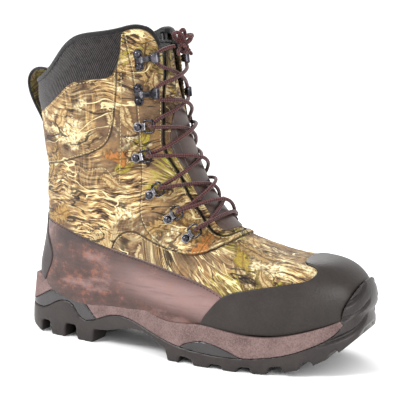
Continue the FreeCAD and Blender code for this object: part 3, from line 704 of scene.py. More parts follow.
def leaf_layer(f, flat, size, seed, presence, slim, lobes=0.0):
    """Scattered leaves, one to a cell: where they are, how light each spot is, their shadow."""
    moved = f.vector("ADD", flat, (seed * 0.37, seed * 0.61, 0))
    wobble = f.vector("MULTIPLY", f.noise(moved, 70.0, 2.0, out="Color"), (0.010, 0.010, 0))
    local, (spin, chance, pick) = f.cells(f.vector("ADD", moved, wobble), size, 0.85)
    angle = f.times(spin, 6.283)
    turned = f.node("VectorRotate", {"Vector": local, "Angle": angle}, rotation_type="Z_AXIS")
    x, y = f.split(turned)
    curl = f.times(f.times(x, x), 5.0)
    y = f.math("ABSOLUTE", f.minus(y, curl))
    along = f.math("DIVIDE", x, size * 0.56)
    belly = f.minus(1.0, f.times(along, along))
    edge = f.times(f.math("SINE", f.times(x, 60 / size)), lobes)
    width = f.times(f.plus(belly, edge), size * slim)
    gap = f.minus(width, y)
    here = f.math("LESS_THAN", chance, presence)
    mask = f.times(f.between(gap, 0.0, 0.0005), here)
    rib = f.between(y, 0.0003, 0.0011)
    slant = f.times(f.plus(x, f.times(y, -1.3)), 190 / size)
    veins = f.between(f.math("SINE", slant), -0.85, 0.5)
    rim = f.between(gap, 0.0, 0.0016)
    light = f.times(f.times(rib, f.plus(0.35, f.times(veins, 0.65))),
                   rim)
    halo = f.times(f.between(gap, -0.0040, 0.0), here)
    return mask, light, halo, pick


def grass_fans(f, flat, size, seed, presence):
    """Tufts of grass that spread from points: where they are and how light each blade is."""
    moved = f.vector("ADD", flat, (seed * 0.41, seed * 0.23, 0))
    local, (kind, chance, pick) = f.cells(moved, size)
    x, y = f.split(local)
    y = f.plus(y, size * 0.30)
    away = f.math("SQRT", f.plus(f.times(x, x), f.times(y, y)))
    bend = f.times(away, f.minus(pick, 0.5))
    angle = f.plus(f.math("ARCTAN2", y, x), f.times(bend, 14.0))
    spot = f.tree.nodes.new("ShaderNodeCombineXYZ")
    f.put(spot.inputs[0], f.times(angle, 15.0))
    f.put(spot.inputs[1], f.times(away, 26.0))
    f.put(spot.inputs[2], f.times(kind, 9.0))
    blades = f.noise(spot.outputs[0], 1.0, 4.0, 0.6)
    reach = f.plus(size * 0.50, f.times(f.minus(blades, 0.5), size * 0.9))
    mask = f.between(f.minus(reach, away), -0.001, 0.003)
    here = f.math("LESS_THAN", chance, presence)
    upright = f.between(y, 0.0, 0.006)
    return f.times(f.times(mask, here), upright), blades, pick


WEAVE_PITCH = 0.0017


def camo_fabric():
    """Printed woven canvas: bark chips, soft shade, tufts of grass, leaves and twigs, with painted
    shade along its seams.
    """
    f = Finish("camo_fabric", roughness=0.72, specular=0.3)
    flat = f.flat()
    push = f.vector("SUBTRACT", f.noise(flat, 16.0, 2.0, out="Color"), (0.5, 0.5, 0.5))
    bent = f.vector("ADD", flat, f.vector("MULTIPLY", push, (0.035, 0.035, 0)))
    chips = f.noise(f.scaled(bent, (62, 430, 1), turn=-0.28), 1.0, 5.0, 0.66)
    bark = f.ramp(chips, [(0.36, SHADOW), (0.41, BARK), (0.45, TAUPE), (0.49, TAN), (0.54, SAND),
                          (0.60, CREAM)])
    trunk = f.noise(f.scaled(bent, (330, 34, 1), shift=(2.1, 0.7, 0), turn=0.15), 1.0, 5.0, 0.66)
    upright = f.ramp(trunk, [(0.36, SHADOW), (0.43, BARK), (0.50, TAUPE), (0.57, TAN), (0.66, SAND)])
    trees = f.between(f.noise(flat, 15.0, 3.0), 0.50, 0.58)
    base = f.mix(f.times(trees, 0.7), bark, upright)
    soft = f.ramp(f.noise(f.scaled(bent, (30, 30, 1), shift=(5, 3, 0)), 1.0, 4.0, 0.6),
                  [(0.38, BARK), (0.48, TAUPE), (0.60, TAN), (0.72, SAND)])
    shade = f.between(f.noise(f.vector("ADD", flat, (7.7, 2.9, 0)), 17.0, 3.0, 0.6), 0.45, 0.57)
    high = f.between(f.split(flat)[1], 0.14, 0.19)
    share = f.times(shade, f.plus(0.7, f.times(high, 0.25)))
    base = f.mix(share, base, soft)
    sunny = f.between(f.noise(f.vector("ADD", flat, (3.3, 1.1, 0)), 22.0, 4.0, 0.65), 0.54, 0.62)
    lichen = f.noise(flat, 420.0, 3.0, 0.7)
    pale = f.ramp(lichen, [(0.36, TAUPE), (0.44, SAND), (0.52, CREAM), (0.62, colour(246, 240, 214))])
    base = f.mix(f.times(sunny, 0.75), base, pale)
    for size, seed, presence, low, middle, high in (
            (0.088, 2, 0.55, BARK, OLIVE, LEAF_GREEN), (0.062, 5, 0.30, SHADOW, OCHRE, CREAM)):
        mask, blades, pick = grass_fans(f, flat, size, seed, presence)
        tone = f.ramp(blades, [(0.38, low), (0.45, middle), (0.49, TAUPE), (0.53, high), (0.58, TAN),
                               (0.66, CREAM)])
        tone = f.mix(f.times(pick, 0.3), tone, TAN)
        base = f.mix(f.times(mask, 0.9), base, tone)
    leaves = ((0.052, 1, 0.16, 0.13, 0.0, LEAF_GREEN, OLIVE), (0.044, 4, 0.26, 0.17, 0.22, SAND, BARK),
              (0.040, 7, 0.16, 0.18, 0.25, RUST, BARK), (0.026, 9, 0.24, 0.18, 0.1, CREAM, TAUPE))
    for size, seed, presence, slim, lobes, light_tone, dark_tone in leaves:
        mask, light, halo, pick = leaf_layer(f, flat, size, seed, presence, slim, lobes)
        base = f.mix(f.times(halo, 0.5), base, BARK)
        grain = f.noise(f.scaled(flat, (1, 1, 1), turn=seed), 260.0, 3.0, 0.7)
        share = f.times(light, f.between(grain, 0.30, 0.60))
        tone = f.mix(share, dark_tone, light_tone)
        tone = f.mix(f.times(pick, 0.35), tone, OCHRE)
        base = f.mix(f.times(mask, 0.85), base, tone)
    for turn, width, tone, seed in ((0.5, 0.010, BARK, 1.0), (-0.9, 0.013, SHADOW, 2.0),
                                    (1.7, 0.010, SHADOW, 5.0), (1.2, 0.008, CREAM, 8.0)):
        way = f.scaled(f.vector("ADD", bent, (seed, -seed, 0)), (9, 34, 1), turn=turn)
        line = f.math("ABSOLUTE", f.minus(f.noise(way, 1.0, 3.5, 0.55), 0.5))
        twig = f.minus(1.0, f.between(line, width * 0.5, width))
        patch = f.between(f.noise(f.vector("ADD", flat, (seed * 2, seed, 0)), 24.0, 1.0), 0.48, 0.54)
        base = f.mix(f.times(f.times(twig, patch), 0.85), base, tone)
    x, y = f.split(f.scaled(flat, (1, 1, 1), turn=0.6))
    count = 2 * math.pi / WEAVE_PITCH
    weave = f.times(f.math("SINE", f.times(x, count)),
                   f.math("SINE", f.times(y, count)))
    worn = f.between(f.noise(flat, 30.0, 2.0), 0.40, 0.60)
    dots = f.times(f.between(weave, 0.10, 0.7), f.plus(0.2, f.times(worn, 0.38)))
    base = f.mix(dots, base, BARK)
    # Painted shade along the seams: the cloth darkens within about 1.4 mm of a panel's edge.
    seam = f.seam(flat)
    line = f.minus(1.0, f.between(seam, 0.0004, 0.0014))
    base = f.mix(f.times(line, 0.75), base, SHADOW)
    f.shader.inputs["Sheen Weight"].default_value = 0.1
    return f.done(base, normal=f.bump(weave, 0.00025, 0.7))


def pull_up_leather(name, dark, middle, light, rubbed_tone, rubbed_share=0.7, highlight_from=None):
    """Oiled leather that pales and reddens where it is stretched and rubbed; given highlight_from, a
    painted highlight band runs along its middle ahead of that x.
    """
    f = Finish(name, roughness=0.36, specular=0.5)
    place = f.place()
    clouds = f.noise(f.scaled(place, (0.6, 1, 1.4)), 34.0, 6.0, 0.68)
    rubbed = f.between(f.noise(place, 95.0, 5.0, 0.8), 0.50, 0.62)
    streaks = f.noise(f.scaled(place, (25, 25, 320)), 1.0, 4.0, 0.65)
    base = f.ramp(clouds, [(0.34, dark), (0.52, middle), (0.84, light)])
    share = f.times(rubbed, f.between(clouds, 0.36, 0.56))
    # Painted highlight: a pale band along the leather's middle line, ahead of highlight_from, fading
    # towards its top and bottom edges.
    if highlight_from is not None:
        x, z = f.split(place, 2)
        ahead = f.between(x, highlight_from, highlight_from + 0.09)
        middle = f.plus(f.times(x, -0.155), 0.059)
        off = f.math("ABSOLUTE", f.minus(z, middle))
        off = f.plus(off, f.times(f.minus(clouds, 0.5), 0.02))
        highlight_band = f.times(f.minus(1.0, f.between(off, 0.002, 0.020)), ahead)
        base = f.mix(f.times(highlight_band, 0.55), base, light)
        share = f.times(share, f.minus(1.0, f.times(ahead, 0.7)))
    base = f.mix(f.times(share, rubbed_share), base, rubbed_tone)
    base = f.mix(f.times(f.between(streaks, 0.5, 0.68), 0.25), base, dark)
    pores = f.node("TexVoronoi", {"Vector": place, "Scale": 900.0}, out="Distance")
    height = f.plus(f.times(pores, 0.4), f.times(streaks, 0.8))
    rough = f.plus(0.26, f.times(clouds, 0.25))
    f.shader.inputs["Coat Weight"].default_value = 0.25
    f.shader.inputs["Coat Roughness"].default_value = 0.25
    return f.done(base, rough, f.bump(height, 0.0004, 0.5))


def rubber(name, dark, light, roughness, grain=0.0004, scale=520.0, gloss=0.4, speckled=0.2):
    """Moulded rubber or foam with a fine even grain and faint scuffs, and painted shade in its gaps
    and hollows.
    """
    f = Finish(name, roughness=roughness, specular=gloss)
    place = f.place()
    mottling = f.noise(place, 55.0, 5.0, 0.65)
    speckle = f.noise(place, scale, 2.0, 0.6)
    base = f.mix(f.between(mottling, 0.0, 1.0), dark, light)
    base = f.mix(f.times(f.between(speckle, 0.52, 0.62), speckled), base, light)
    base = f.mix(f.times(f.between(speckle, 0.48, 0.38), speckled), base, dark)
    # Painted shade: darker where ambient occlusion finds gaps and hollows, such as the bumper grooves
    # and the joins between sole pieces.
    base = f.painted_gap_shade(base, 0.005, 0.8)
    rough = f.plus(roughness - 0.08, f.times(mottling, 0.16))
    return f.done(base, rough, f.bump(speckle, grain, 0.45))


def ribbed_knit(name, dark, light, pitch=0.0016, turn=0.5):
    """Stretch knit with fine slanting ribs."""
    f = Finish(name, roughness=0.85, specular=0.2)
    x, y = f.split(f.scaled(f.flat(), (1, 1, 1), turn=turn))
    rib = f.math("SINE", f.times(x, 2 * math.pi / pitch))
    loop = f.math("SINE", f.times(y, 2 * math.pi / (pitch * 0.6)))
    height = f.plus(rib, f.times(loop, 0.5))
    fuzz = f.noise(f.place(), 300.0, 2.0)
    share = f.times(f.between(height, -0.9, 1.2), f.between(fuzz, 0.2, 0.6))
    f.shader.inputs["Sheen Weight"].default_value = 0.3
    return f.done(f.mix(share, dark, light), normal=f.bump(height, 0.0003, 0.7))


def metal(name, dark, bright, roughness=0.28):
    """Dark plated steel whose edges are rubbed bright."""
    f = Finish(name, roughness=roughness, metallic=0.9)
    place = f.place()
    cloud = f.noise(place, 240.0, 3.0, 0.6)
    bevelled = f.node("Bevel", {"Radius": 0.0005})
    straight = f.node("NewGeometry", out="Normal")
    turn = f.node("VectorMath", {0: bevelled, 1: straight}, out="Value", operation="DOT_PRODUCT")
    worn = f.minus(1.0, f.between(turn, 0.80, 0.985))
    base = f.mix(f.times(worn, 0.8), f.mix(f.between(cloud, 0.35, 0.7), dark, bright),
                 colour(214, 214, 218))
    rough = f.plus(roughness - 0.06, f.times(cloud, 0.2))
    return f.done(base, rough, bevelled)


BRAID_PITCH = 4.2
BRAID_ROUND = 3 / MM                      # three strands each way round


def braided_cord():
    """Round braided lace: slanting strands in two close browns."""
    f = Finish("lace_cord", roughness=0.62, specular=0.35)
    x, y = f.split(f.flat())
    along = f.times(x, 2 * math.pi / (BRAID_PITCH * MM))
    left = f.math("SINE", f.plus(along, f.times(y, BRAID_ROUND)))
    right = f.math("SINE", f.minus(along, f.times(y, BRAID_ROUND)))
    strands = f.times(left, right)
    fuzz = f.noise(f.place(), 700.0, 2.0)
    base = f.mix(f.between(strands, -0.4, 0.7), colour(44, 20, 22), colour(98, 54, 52))
    base = f.mix(f.times(f.between(fuzz, 0.45, 0.7), 0.25), base, colour(128, 82, 76))
    f.shader.inputs["Sheen Weight"].default_value = 0.2
    return f.done(base, normal=f.bump(strands, 0.00035, 0.6))


def felt(name, dark, light, scale=260.0):
    """Matted fibre."""
    f = Finish(name, roughness=0.92, specular=0.15)
    place = f.place()
    fibre = f.noise(f.scaled(place, (1, 1, 2.5)), scale, 4.0, 0.7)
    patch = f.noise(place, 40.0, 2.0)
    base = f.mix(f.between(fibre, 0.35, 0.7), dark, light)
    base = f.mix(f.times(f.between(patch, 0.4, 0.7), 0.3), base, light)
    f.shader.inputs["Sheen Weight"].default_value = 0.4
    return f.done(base, normal=f.bump(fibre, 0.0005, 0.6))


def thread(name, tone):
    """Twisted sewing thread."""
    f = Finish(name, roughness=0.6)
    twist = f.noise(f.place(), 1500.0, 2.0)
    dim = tuple(c * 0.5 for c in tone[:3]) + (1.0,)
    return f.done(f.mix(twist, dim, tone), normal=f.bump(twist, 0.0002, 0.6))


MATERIALS = {
    "camo_fabric": camo_fabric(),
    "collar_knit": ribbed_knit("collar_knit", colour(22, 20, 20), colour(70, 64, 64)),
    # The foxing's last number, -0.09, is where its painted highlight band begins, in metres along x.
    "foxing_leather": pull_up_leather("foxing_leather", colour(44, 26, 22), colour(74, 48, 42),
                                      colour(160, 130, 126), colour(146, 88, 60), 0.5, -0.09),
    "binding_tape": ribbed_knit("binding_tape", colour(20, 19, 20), colour(58, 54, 55), 0.001, 0.0),
    "toe_rubber": rubber("toe_rubber", colour(38, 33, 31), colour(56, 50, 47), 0.40),
    "counter_rubber": rubber("counter_rubber", colour(44, 38, 38), colour(66, 58, 58), 0.38),
    "outsole_rubber": rubber("outsole_rubber", colour(38, 34, 33), colour(62, 56, 54), 0.34),
    "midsole_foam": rubber("midsole_foam", colour(78, 62, 60), colour(136, 116, 113), 0.7, 0.0006,
                           900.0, 0.3, 0.4),
    "stabilizer_plastic": rubber("stabilizer_plastic", colour(34, 31, 32), colour(60, 56, 57), 0.18,
                                 0.0001, 600.0, 0.7, 0.05),
    "tongue_leather": pull_up_leather("tongue_leather", colour(52, 36, 30), colour(68, 50, 43),
                                      colour(88, 68, 60), colour(92, 70, 60), 0.4),
    "inner_lining": ribbed_knit("inner_lining", colour(18, 17, 18), colour(52, 49, 50), 0.002, 0.8),
    "padding_foam": felt("padding_foam", colour(58, 55, 55), colour(92, 88, 87)),
    "insulation_felt": felt("insulation_felt", colour(58, 56, 56), colour(92, 89, 88)),
    "footbed_felt": felt("footbed_felt", colour(60, 58, 58), colour(104, 100, 98)),
    "board": felt("board", colour(150, 128, 98), colour(182, 160, 128), 500.0),
    "stiffening": rubber("stiffening", colour(176, 170, 158), colour(200, 194, 182), 0.7),
    "shank_steel": metal("shank_steel", colour(120, 122, 126), colour(150, 152, 156)),
    "hardware_metal": metal("hardware_metal", colour(40, 39, 42), colour(92, 90, 95), 0.22),
    "lace_cord": braided_cord(),
}
BRIGHT_METAL = metal("bright_metal", colour(96, 94, 98), colour(176, 174, 178), 0.2)
THREADS = {"pale_thread": thread("pale_thread", colour(206, 190, 150)),
           "dark_thread": thread("dark_thread", colour(60, 48, 44))}


def dress_frame():
    """Every carried-over node takes the procedural finish of its material slot."""
    for node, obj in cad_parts.items():
        for place, used in enumerate(obj.material_slots):
            name = used.material.name.split(".")[0] if used.material else ""
            key = next((k for k in MATERIALS if k in name), None)
            if key:
                bright = node == "ring_clips"
                obj.material_slots[place].material = BRIGHT_METAL if bright else MATERIALS[key]


# ---- the lace: the same route as the frame's own cord --------------------------------------------
TURNS = [((183, 35.2, 34.1, 113.4), (-0.70, -0.15, 0.70)),
         ((167.1, 36.7, 35.7, 127.4), (-0.61, -0.02, 0.79)),
         ((150.7, 38.8, 38.6, 146.1), (-0.55, 0.03, 0.83)),
         ((139.7, 38.8, 39, 172.3), (-0.22, -0.03, 0.97)),
         ((140.5, 34.6, 34.5, 196.3), (-0.09, -0.06, 0.99)),
         ((139.4, 29.3, 29.3, 223.2), (-0.09, -0.01, 1)),
         ((138.5, 27.2, 27.2, 252.9), (-0.14, -0.02, 0.99))]
CROSSINGS = [(192, 119), (185, 127), (173.5, 143), (162, 165), (152, 190), (146.5, 213),
             (141.5, 239)]
RIDGE = [(206, 107), (182, 130), (164, 160), (151, 193), (143, 226), (139, 260)]
FIRST_HOOK = 5
LACE_R = 1.7
LACE_UNDER = 4.7
LACE_OVER = 8.6
TURN_R = 3.2
HUMP_Y = 9
HUMP_RISE = 3.4
SHOULDER_Y = 30.9
SHOULDER_DROP = 9.3
SHOULDER_RISE = 10.5
HOOK_TURN_T = 6.3
KNOT = np.array([150.0, 0.0, 265.0])


def ridge_frame(place):
    """The directions up along the tongue's ridge and straight out of it."""
    i = max(j for j in range(len(RIDGE) - 1) if RIDGE[j][1] <= place[1] + 0.5 or j == 0)
    up = unit(np.array([RIDGE[i + 1][0] - RIDGE[i][0], 0, RIDGE[i + 1][1] - RIDGE[i][1]], float))
    return up, np.array([up[2], 0, -up[0]])


def hump(crossing, side, height, rise):
    """A control point where a strand passes over the tongue, beside a crossing."""
    x, z = CROSSINGS[crossing]
    up, out = ridge_frame((x, z))
    return np.array([x, float(middle_y(x)) + side * HUMP_Y, z]) + out * height + up * rise


def shoulder(crossing, side):
    """A control point beside the tongue, where a strand drops towards its ring."""
    x, z = CROSSINGS[crossing]
    up, out = ridge_frame((x, z))
    place = np.array([x, float(middle_y(x)) + side * SHOULDER_Y, z])
    return place - out * SHOULDER_DROP - up * SHOULDER_RISE


def turn_points(row, side, before, after):
    """A strand's turn at one row: in over the ring's bar and out under it, or up a hook."""
    (x, outer, inner, z), (tx, ty, tz) = TURNS[row]
    y = outer if side < 0 else inner
    place = np.array([x, float(middle_y(x)) + side * y, z])
    along = unit(np.array([tx, side * ty, tz], float))
    if row >= FIRST_HOOK:
        return [place - along * HOOK_TURN_T, place + along * HOOK_TURN_T]
    inward = (before + after) / 2 - place
    inward = unit(inward - along * inward.dot(along))
    out = np.cross(inward, along)
    if out[0] + out[1] * side < 0:
        out = -out
    points = []
    for angle, slide in ((30, -1.0), (90, -0.2), (150, 0.6), (210, 1.4)):
        a = math.radians(angle)
        reach = TURN_R / math.cos(math.radians(30))
        points.append(place + (out * math.cos(a) - inward * math.sin(a)) * reach + along * slide)
    return points


def half_lace(side):
    """One end of the lace, from the lowest bar up to the knot."""
    points = []
    before = hump(0, side, LACE_UNDER, 0)
    for row in range(len(TURNS)):
        over = (row % 2 == 0) == (side > 0)
        height = LACE_OVER if over else LACE_UNDER
        if row + 1 < len(CROSSINGS):
            leave = [hump(row + 1, side, height, -HUMP_RISE)]
            if row < FIRST_HOOK:
                leave.insert(0, shoulder(row + 1, side))
            arrive = hump(row + 1, -side, height, HUMP_RISE)
        else:
            leave = [np.array([KNOT[0] - 3, side * 9, KNOT[2] - 2])]
            arrive = None
        points += [before] + turn_points(row, side, before, leave[0]) + leave
        before = arrive
        side = -side
    return points


def nurbs_line(points):
    """Points along the smooth curve that has these as its control points."""
    curve = bpy.data.curves.new("route", "CURVE")
    curve.dimensions = "3D"
    curve.resolution_u = 10
    strand = curve.splines.new("NURBS")
    strand.points.add(len(points) - 1)
    for spot, point in zip(strand.points, points):
        spot.co = (*[float(c) for c in point], 1)
    strand.order_u = 3
    strand.use_endpoint_u = True
    holder = bpy.data.objects.new("route", curve)
    mesh = bpy.data.meshes.new_from_object(holder)
    line = np.array([v.co for v in mesh.vertices], float)
    bpy.data.objects.remove(holder)
    bpy.data.meshes.remove(mesh)
    bpy.data.curves.remove(curve)
    return line


def evenly(line, step):
    """A polyline, and any columns that go with it, at points an even step apart."""
    run = np.linalg.norm(np.diff(line[:, :3], axis=0), axis=1)
    lengths = np.concatenate([[0], np.cumsum(run)])
    keep = np.concatenate([[True], run > 1e-6])
    lengths, line = lengths[keep], line[keep]
    at = np.linspace(0, lengths[-1], max(int(lengths[-1] / step), 2) + 1)
    return np.stack([np.interp(at, lengths, column) for column in line.T], axis=1), at


def path_frames(line):
    """Directions along a line, and two across it that turn as little as they can."""
    ahead = unit(np.gradient(line, axis=0))
    first = np.cross(ahead[0], (0.3, 0.2, 0.93))
    across = [unit(first)]
    for direction in ahead[1:]:
        a = across[-1] - direction * across[-1].dot(direction)
        across.append(unit(a))
    across = np.array(across)
    return ahead, across, np.cross(ahead, across)


def tube_faces(n, sides):
    """Faces of n rings in a row, closed at both ends by fans to two further points."""
    i, j = np.meshgrid(np.arange(n - 1), np.arange(sides), indexing="ij")
    k = (j + 1) % sides
    faces = np.stack([i * sides + j, i * sides + k, (i + 1) * sides + k, (i + 1) * sides + j],
                     axis=2).reshape(-1, 4).tolist()
    for j in range(sides):
        k = (j + 1) % sides
        faces.append([n * sides, k, j])
        faces.append([n * sides + 1, (n - 1) * sides + j, (n - 1) * sides + k])
    return faces


def swept(places, a, b, profile):
    """A changing outline carried along places, in directions a and b at each of them."""
    rings = places[:, None] + a[:, None] * profile[..., :1] + b[:, None] * profile[..., 1:2]
    n, sides = rings.shape[:2]
    step = np.linalg.norm(np.diff(places, axis=0), axis=1)
    along = np.concatenate([[0], np.cumsum(step)])
    flat = np.stack(np.broadcast_arrays(along[:, None], profile[..., 0], profile[..., 1]), axis=2)
    points = np.vstack([rings.reshape(-1, 3), rings[0].mean(axis=0), rings[-1].mean(axis=0)])
    flat = np.vstack([flat.reshape(-1, 3), [[0, 0, 0]], [[along[-1], 0, 0]]])
    return points, tube_faces(n, sides), flat


def braided_tube(line, radius, step=0.55, sides=14, taper=0.0):
    """A round cord with raised strands, as points, faces and flat coordinates."""
    line, at = evenly(line, step)
    _, across, other = path_frames(line)
    angle = np.arange(sides) * 2 * math.pi / sides
    along = at[:, None] * 2 * math.pi / BRAID_PITCH
    wave = np.sin(along + angle * 3) * np.sin(along - angle * 3)
    r = radius * (0.955 + 0.04 * wave)
    if taper:
        ends = np.minimum(at, at[-1] - at)
        r = r * np.clip(0.45 + ends / taper, 0, 1)[:, None]
    points = (line[:, None] + across[:, None] * (np.cos(angle) * r)[..., None]
              + other[:, None] * (np.sin(angle) * r)[..., None])
    flat = np.stack(np.broadcast_arrays(at[:, None], angle[None, :], 0.0), axis=2)
    points = np.vstack([points.reshape(-1, 3), line[:1], line[-1:]])
    flat = np.vstack([flat.reshape(-1, 3), [[0, 0, 0]], [[at[-1], 0, 0]]])
    return points, tube_faces(len(line), sides), flat


def joined(parts):
    """Several shapes as one set of points, faces and flat coordinates."""
    points, faces, flats, count = [], [], [], 0
    for part_points, part_faces, part_flat in parts:
        points.append(part_points)
        flats.append(part_flat)
        faces += [[i + count for i in face] for face in part_faces]
        count += len(part_points)
    return np.vstack(points), faces, np.vstack(flats)


def knot_loop(direction, sideways, length, width, depth):
    """One loop of the bow, out from the knot and back."""
    d = unit(np.array(direction, float))
    s = unit(np.array(sideways, float))
    out = np.cross(d, s)
    shape = ((0, -0.25), (0.45, -0.5), (0.85, -0.42), (1.05, 0), (0.85, 0.42), (0.45, 0.5), (0, 0.25))
    return [KNOT + d * length * a + s * width * b + out * depth * math.sin(3 * a) for a, b in shape]


def knot_strands():
    """The tied bow: a wrapped middle, four short loops and two tucked ends."""
    wrap = []
    for i in range(15):
        a = i * 2 * math.pi / 7
        wrap.append(KNOT + np.array([1.5 + 3.4 * math.cos(a), -4 + i * 0.55, -4 + 3.6 * math.sin(a)]))
    lower = KNOT + np.array([-2.0, 0, -3.0])
    ends = [[lower, lower + (1, -6, -2), lower + (2.5, -9.5, -4.5), lower + (4, -10.5, -7)],
            [lower, lower + (2, 5, -2), lower + (4, 9, -3.5), lower + (5.5, 10.5, -6.5)]]
    loops = [knot_loop((-0.15, -0.8, 0.75), (1, 0.2, 0.3), 13.5, 7.5, 1.0),
             knot_loop((0.1, -0.1, 1), (0.2, 1, 0), 12.0, 8.0, 1.5),
             knot_loop((0.25, 0.8, 0.62), (1, -0.2, -0.2), 13.0, 7.0, -1.0),
             knot_loop((0.55, 0.25, 0.55), (0.2, 1, -0.5), 9.0, 7.5, 0.5)]
    return [wrap] + loops + ends


def lace_pieces():
    """The lace, one cord from end to end, and the bow tied in it."""
    line = nurbs_line(half_lace(-1)[::-1] + half_lace(1))
    points, faces, flat = braided_tube(line, LACE_R)
    lace = add_mesh("lace_braid", points, faces, "lace_cord", flat=flat, nodes=["lace"])
    strands = [braided_tube(nurbs_line(strand), LACE_R * 0.98, taper=1.5) for strand in knot_strands()]
    points, faces, flat = joined(strands)
    knot = add_mesh("bow_loops", points, faces, "lace_cord", flat=flat, nodes=["bow_knot"])


# ---- the upper's panels --------------------------------------------------------------------------
def smallest(*fields):
    """The field of what lies inside all of several outlines."""
    return np.minimum.reduce(fields)


def opening(shift):
    """Distance in front of the opening's edge, seen from the side, less a shift."""
    return on_surface(side_distance(SKIN, FACING_EDGE, (400, 116), (400, 300)) - shift)


def below(line):
    """Distance under a side-view line across the shaft."""
    return -on_surface(side_distance(SKIN, line, (160, BOX_TOP), (60, BOX_TOP)))


FROM_MIDDLE = SKIN[..., 1] - middle_y(SKIN[..., 0])
TRIMMED = smallest(BELOW_RIM - 2.4, BEHIND_OPENING)
UNDER_FACING = smallest(TRIMMED, 3.0 - IN_FACING)
SIDES = {"lateral": -FROM_MIDDLE, "medial": FROM_MIDDLE}
CUTS = {
    "collar": Cut(smallest(IN_COLLAR, BELOW_RIM - 2.4), top=0.0, bottom=-2.2, puff=1.2, puff_width=13,
                  wrinkle=0.25, seed=3),
    "shaft": Cut(smallest(IN_SHAFT, 1.2 - IN_COLLAR, BELOW_RIM - 2.4), top=0.1, bottom=-2.0, puff=1.2,
                 wrinkle=0.5, seed=5),
    "vamp": Cut(smallest(IN_VAMP, 2.0 - IN_LEATHER, BEHIND_OPENING, 3.0 - IN_TOE_CAP), top=0.1,
                bottom=-2.0, puff=0.8, wrinkle=0.7, seed=12, flat=VAMP_FLAT),
    "toe_cap": Cut(smallest(IN_TOE_CAP, ABOVE_SOLE + 2.5), top=1.9, bottom=-0.2),
    "counter": Cut(smallest(IN_COUNTER, ABOVE_SOLE + 2.5), top=1.5, bottom=-0.2),
}
for SIDE, FIELD_OF_SIDE in SIDES.items():
    CUTS["quarter_" + SIDE] = Cut(
        smallest(UNDER_FACING, 0.4 - IN_SHAFT, 2.0 - IN_LEATHER, 0.4 - IN_VAMP, FIELD_OF_SIDE + 0.4,
                 1.0 - IN_COLLAR), top=0.35, bottom=-2.0, puff=0.9, wrinkle=0.6, seed=7)
    CUTS["facing_" + SIDE] = Cut(smallest(IN_FACING, TRIMMED, FIELD_OF_SIDE + 0.4), top=2.0,
                                 bottom=-0.2, wrinkle=0.12, seed=8)
    CUTS["foxing_" + SIDE] = Cut(
        smallest(IN_LEATHER, ABOVE_SOLE + 7.0, 3.0 - IN_TOE_CAP, 3.0 - IN_COUNTER,
                 FIELD_OF_SIDE + 0.3), top=0.55, bottom=-2.0, puff=0.5, wrinkle=0.25, seed=9)


def upper_panels():
    """The outer cloth, leather and rubber, and the lining."""
    collar = panel("collar", CUTS["collar"], "collar_knit", ["collar_panel"], pressure=4.0, cap=1.6)
    panel("shaft_cloth", CUTS["shaft"], "camo_fabric", ["shaft_panel"])
    for side in SIDES:
        panel("quarter_cloth_" + side, CUTS["quarter_" + side], "camo_fabric", ["quarter_" + side])
        panel("facing_strip_" + side, CUTS["facing_" + side], "camo_fabric", ["facing_" + side])
        panel("foxing_" + side, CUTS["foxing_" + side], "foxing_leather", ["leather_foxing_" + side])
    panel("vamp_cloth", CUTS["vamp"], "camo_fabric", ["vamp"])
    panel("toe_cap_rubber", CUTS["toe_cap"], "toe_rubber", ["toe_cap"])
    panel("heel_counter_rubber", CUTS["counter"], "counter_rubber", ["heel_counter_cover"])
    inside = smallest(BELOW_RIM - 2.5, -opening(-19.0), SKIN[..., 2] - 35.5)
    panel("shaft_lining", Cut(inside, top=-6.6, bottom=-7.5), "inner_lining", ["lining"])
    hem = smallest(BELOW_RIM - 2.5, opening(-19.1), -opening(-18.3), SKIN[..., 2] - 60)
    panel("lining_hem", Cut(hem, top=-3.45, bottom=-7.45), "inner_lining")


# ---- tongue --------------------------------------------------------------------------------------
SINK, SINK_FROM, SINK_RUN = 1.35, 1.6, 3.0   # how far the cloth sinks, and over what run


class TongueCut(Cut):
    """The tongue's cloth, which sinks towards its sides to pass behind the facings."""

    def height(self, d, places):
        inside = np.clip((d - SINK_FROM) / SINK_RUN, 0, 1)
        return super().height(d, places) - SINK * (1 - eased(inside))


def stuffed_pad():
    """The tongue's pad: its solid, remeshed, blown up as cloth and smoothed once."""
    pad = remeshed("tongue_padding", "tongue_pad", 2.4, 2, "padding_foam", "tongue")
    swelling = 0.8 * MM
    normals = vectors_of(pad.data.vertex_normals, "vector")
    set_points(pad.data, vectors_of(pad.data.vertices, "co") - normals * swelling)
    before = vectors_of(pad.data.vertices, "co")
    as_cloth(pad, 4.0)
    after = simulated(pad)
    pad.modifiers.clear()
    set_points(pad.data, capped(before, after, swelling))
    bpy.context.scene.frame_set(1)
    fine = pad.modifiers.new("fine", "SUBSURF")
    fine.levels = fine.render_levels = 1
    with_modifiers_applied(pad)


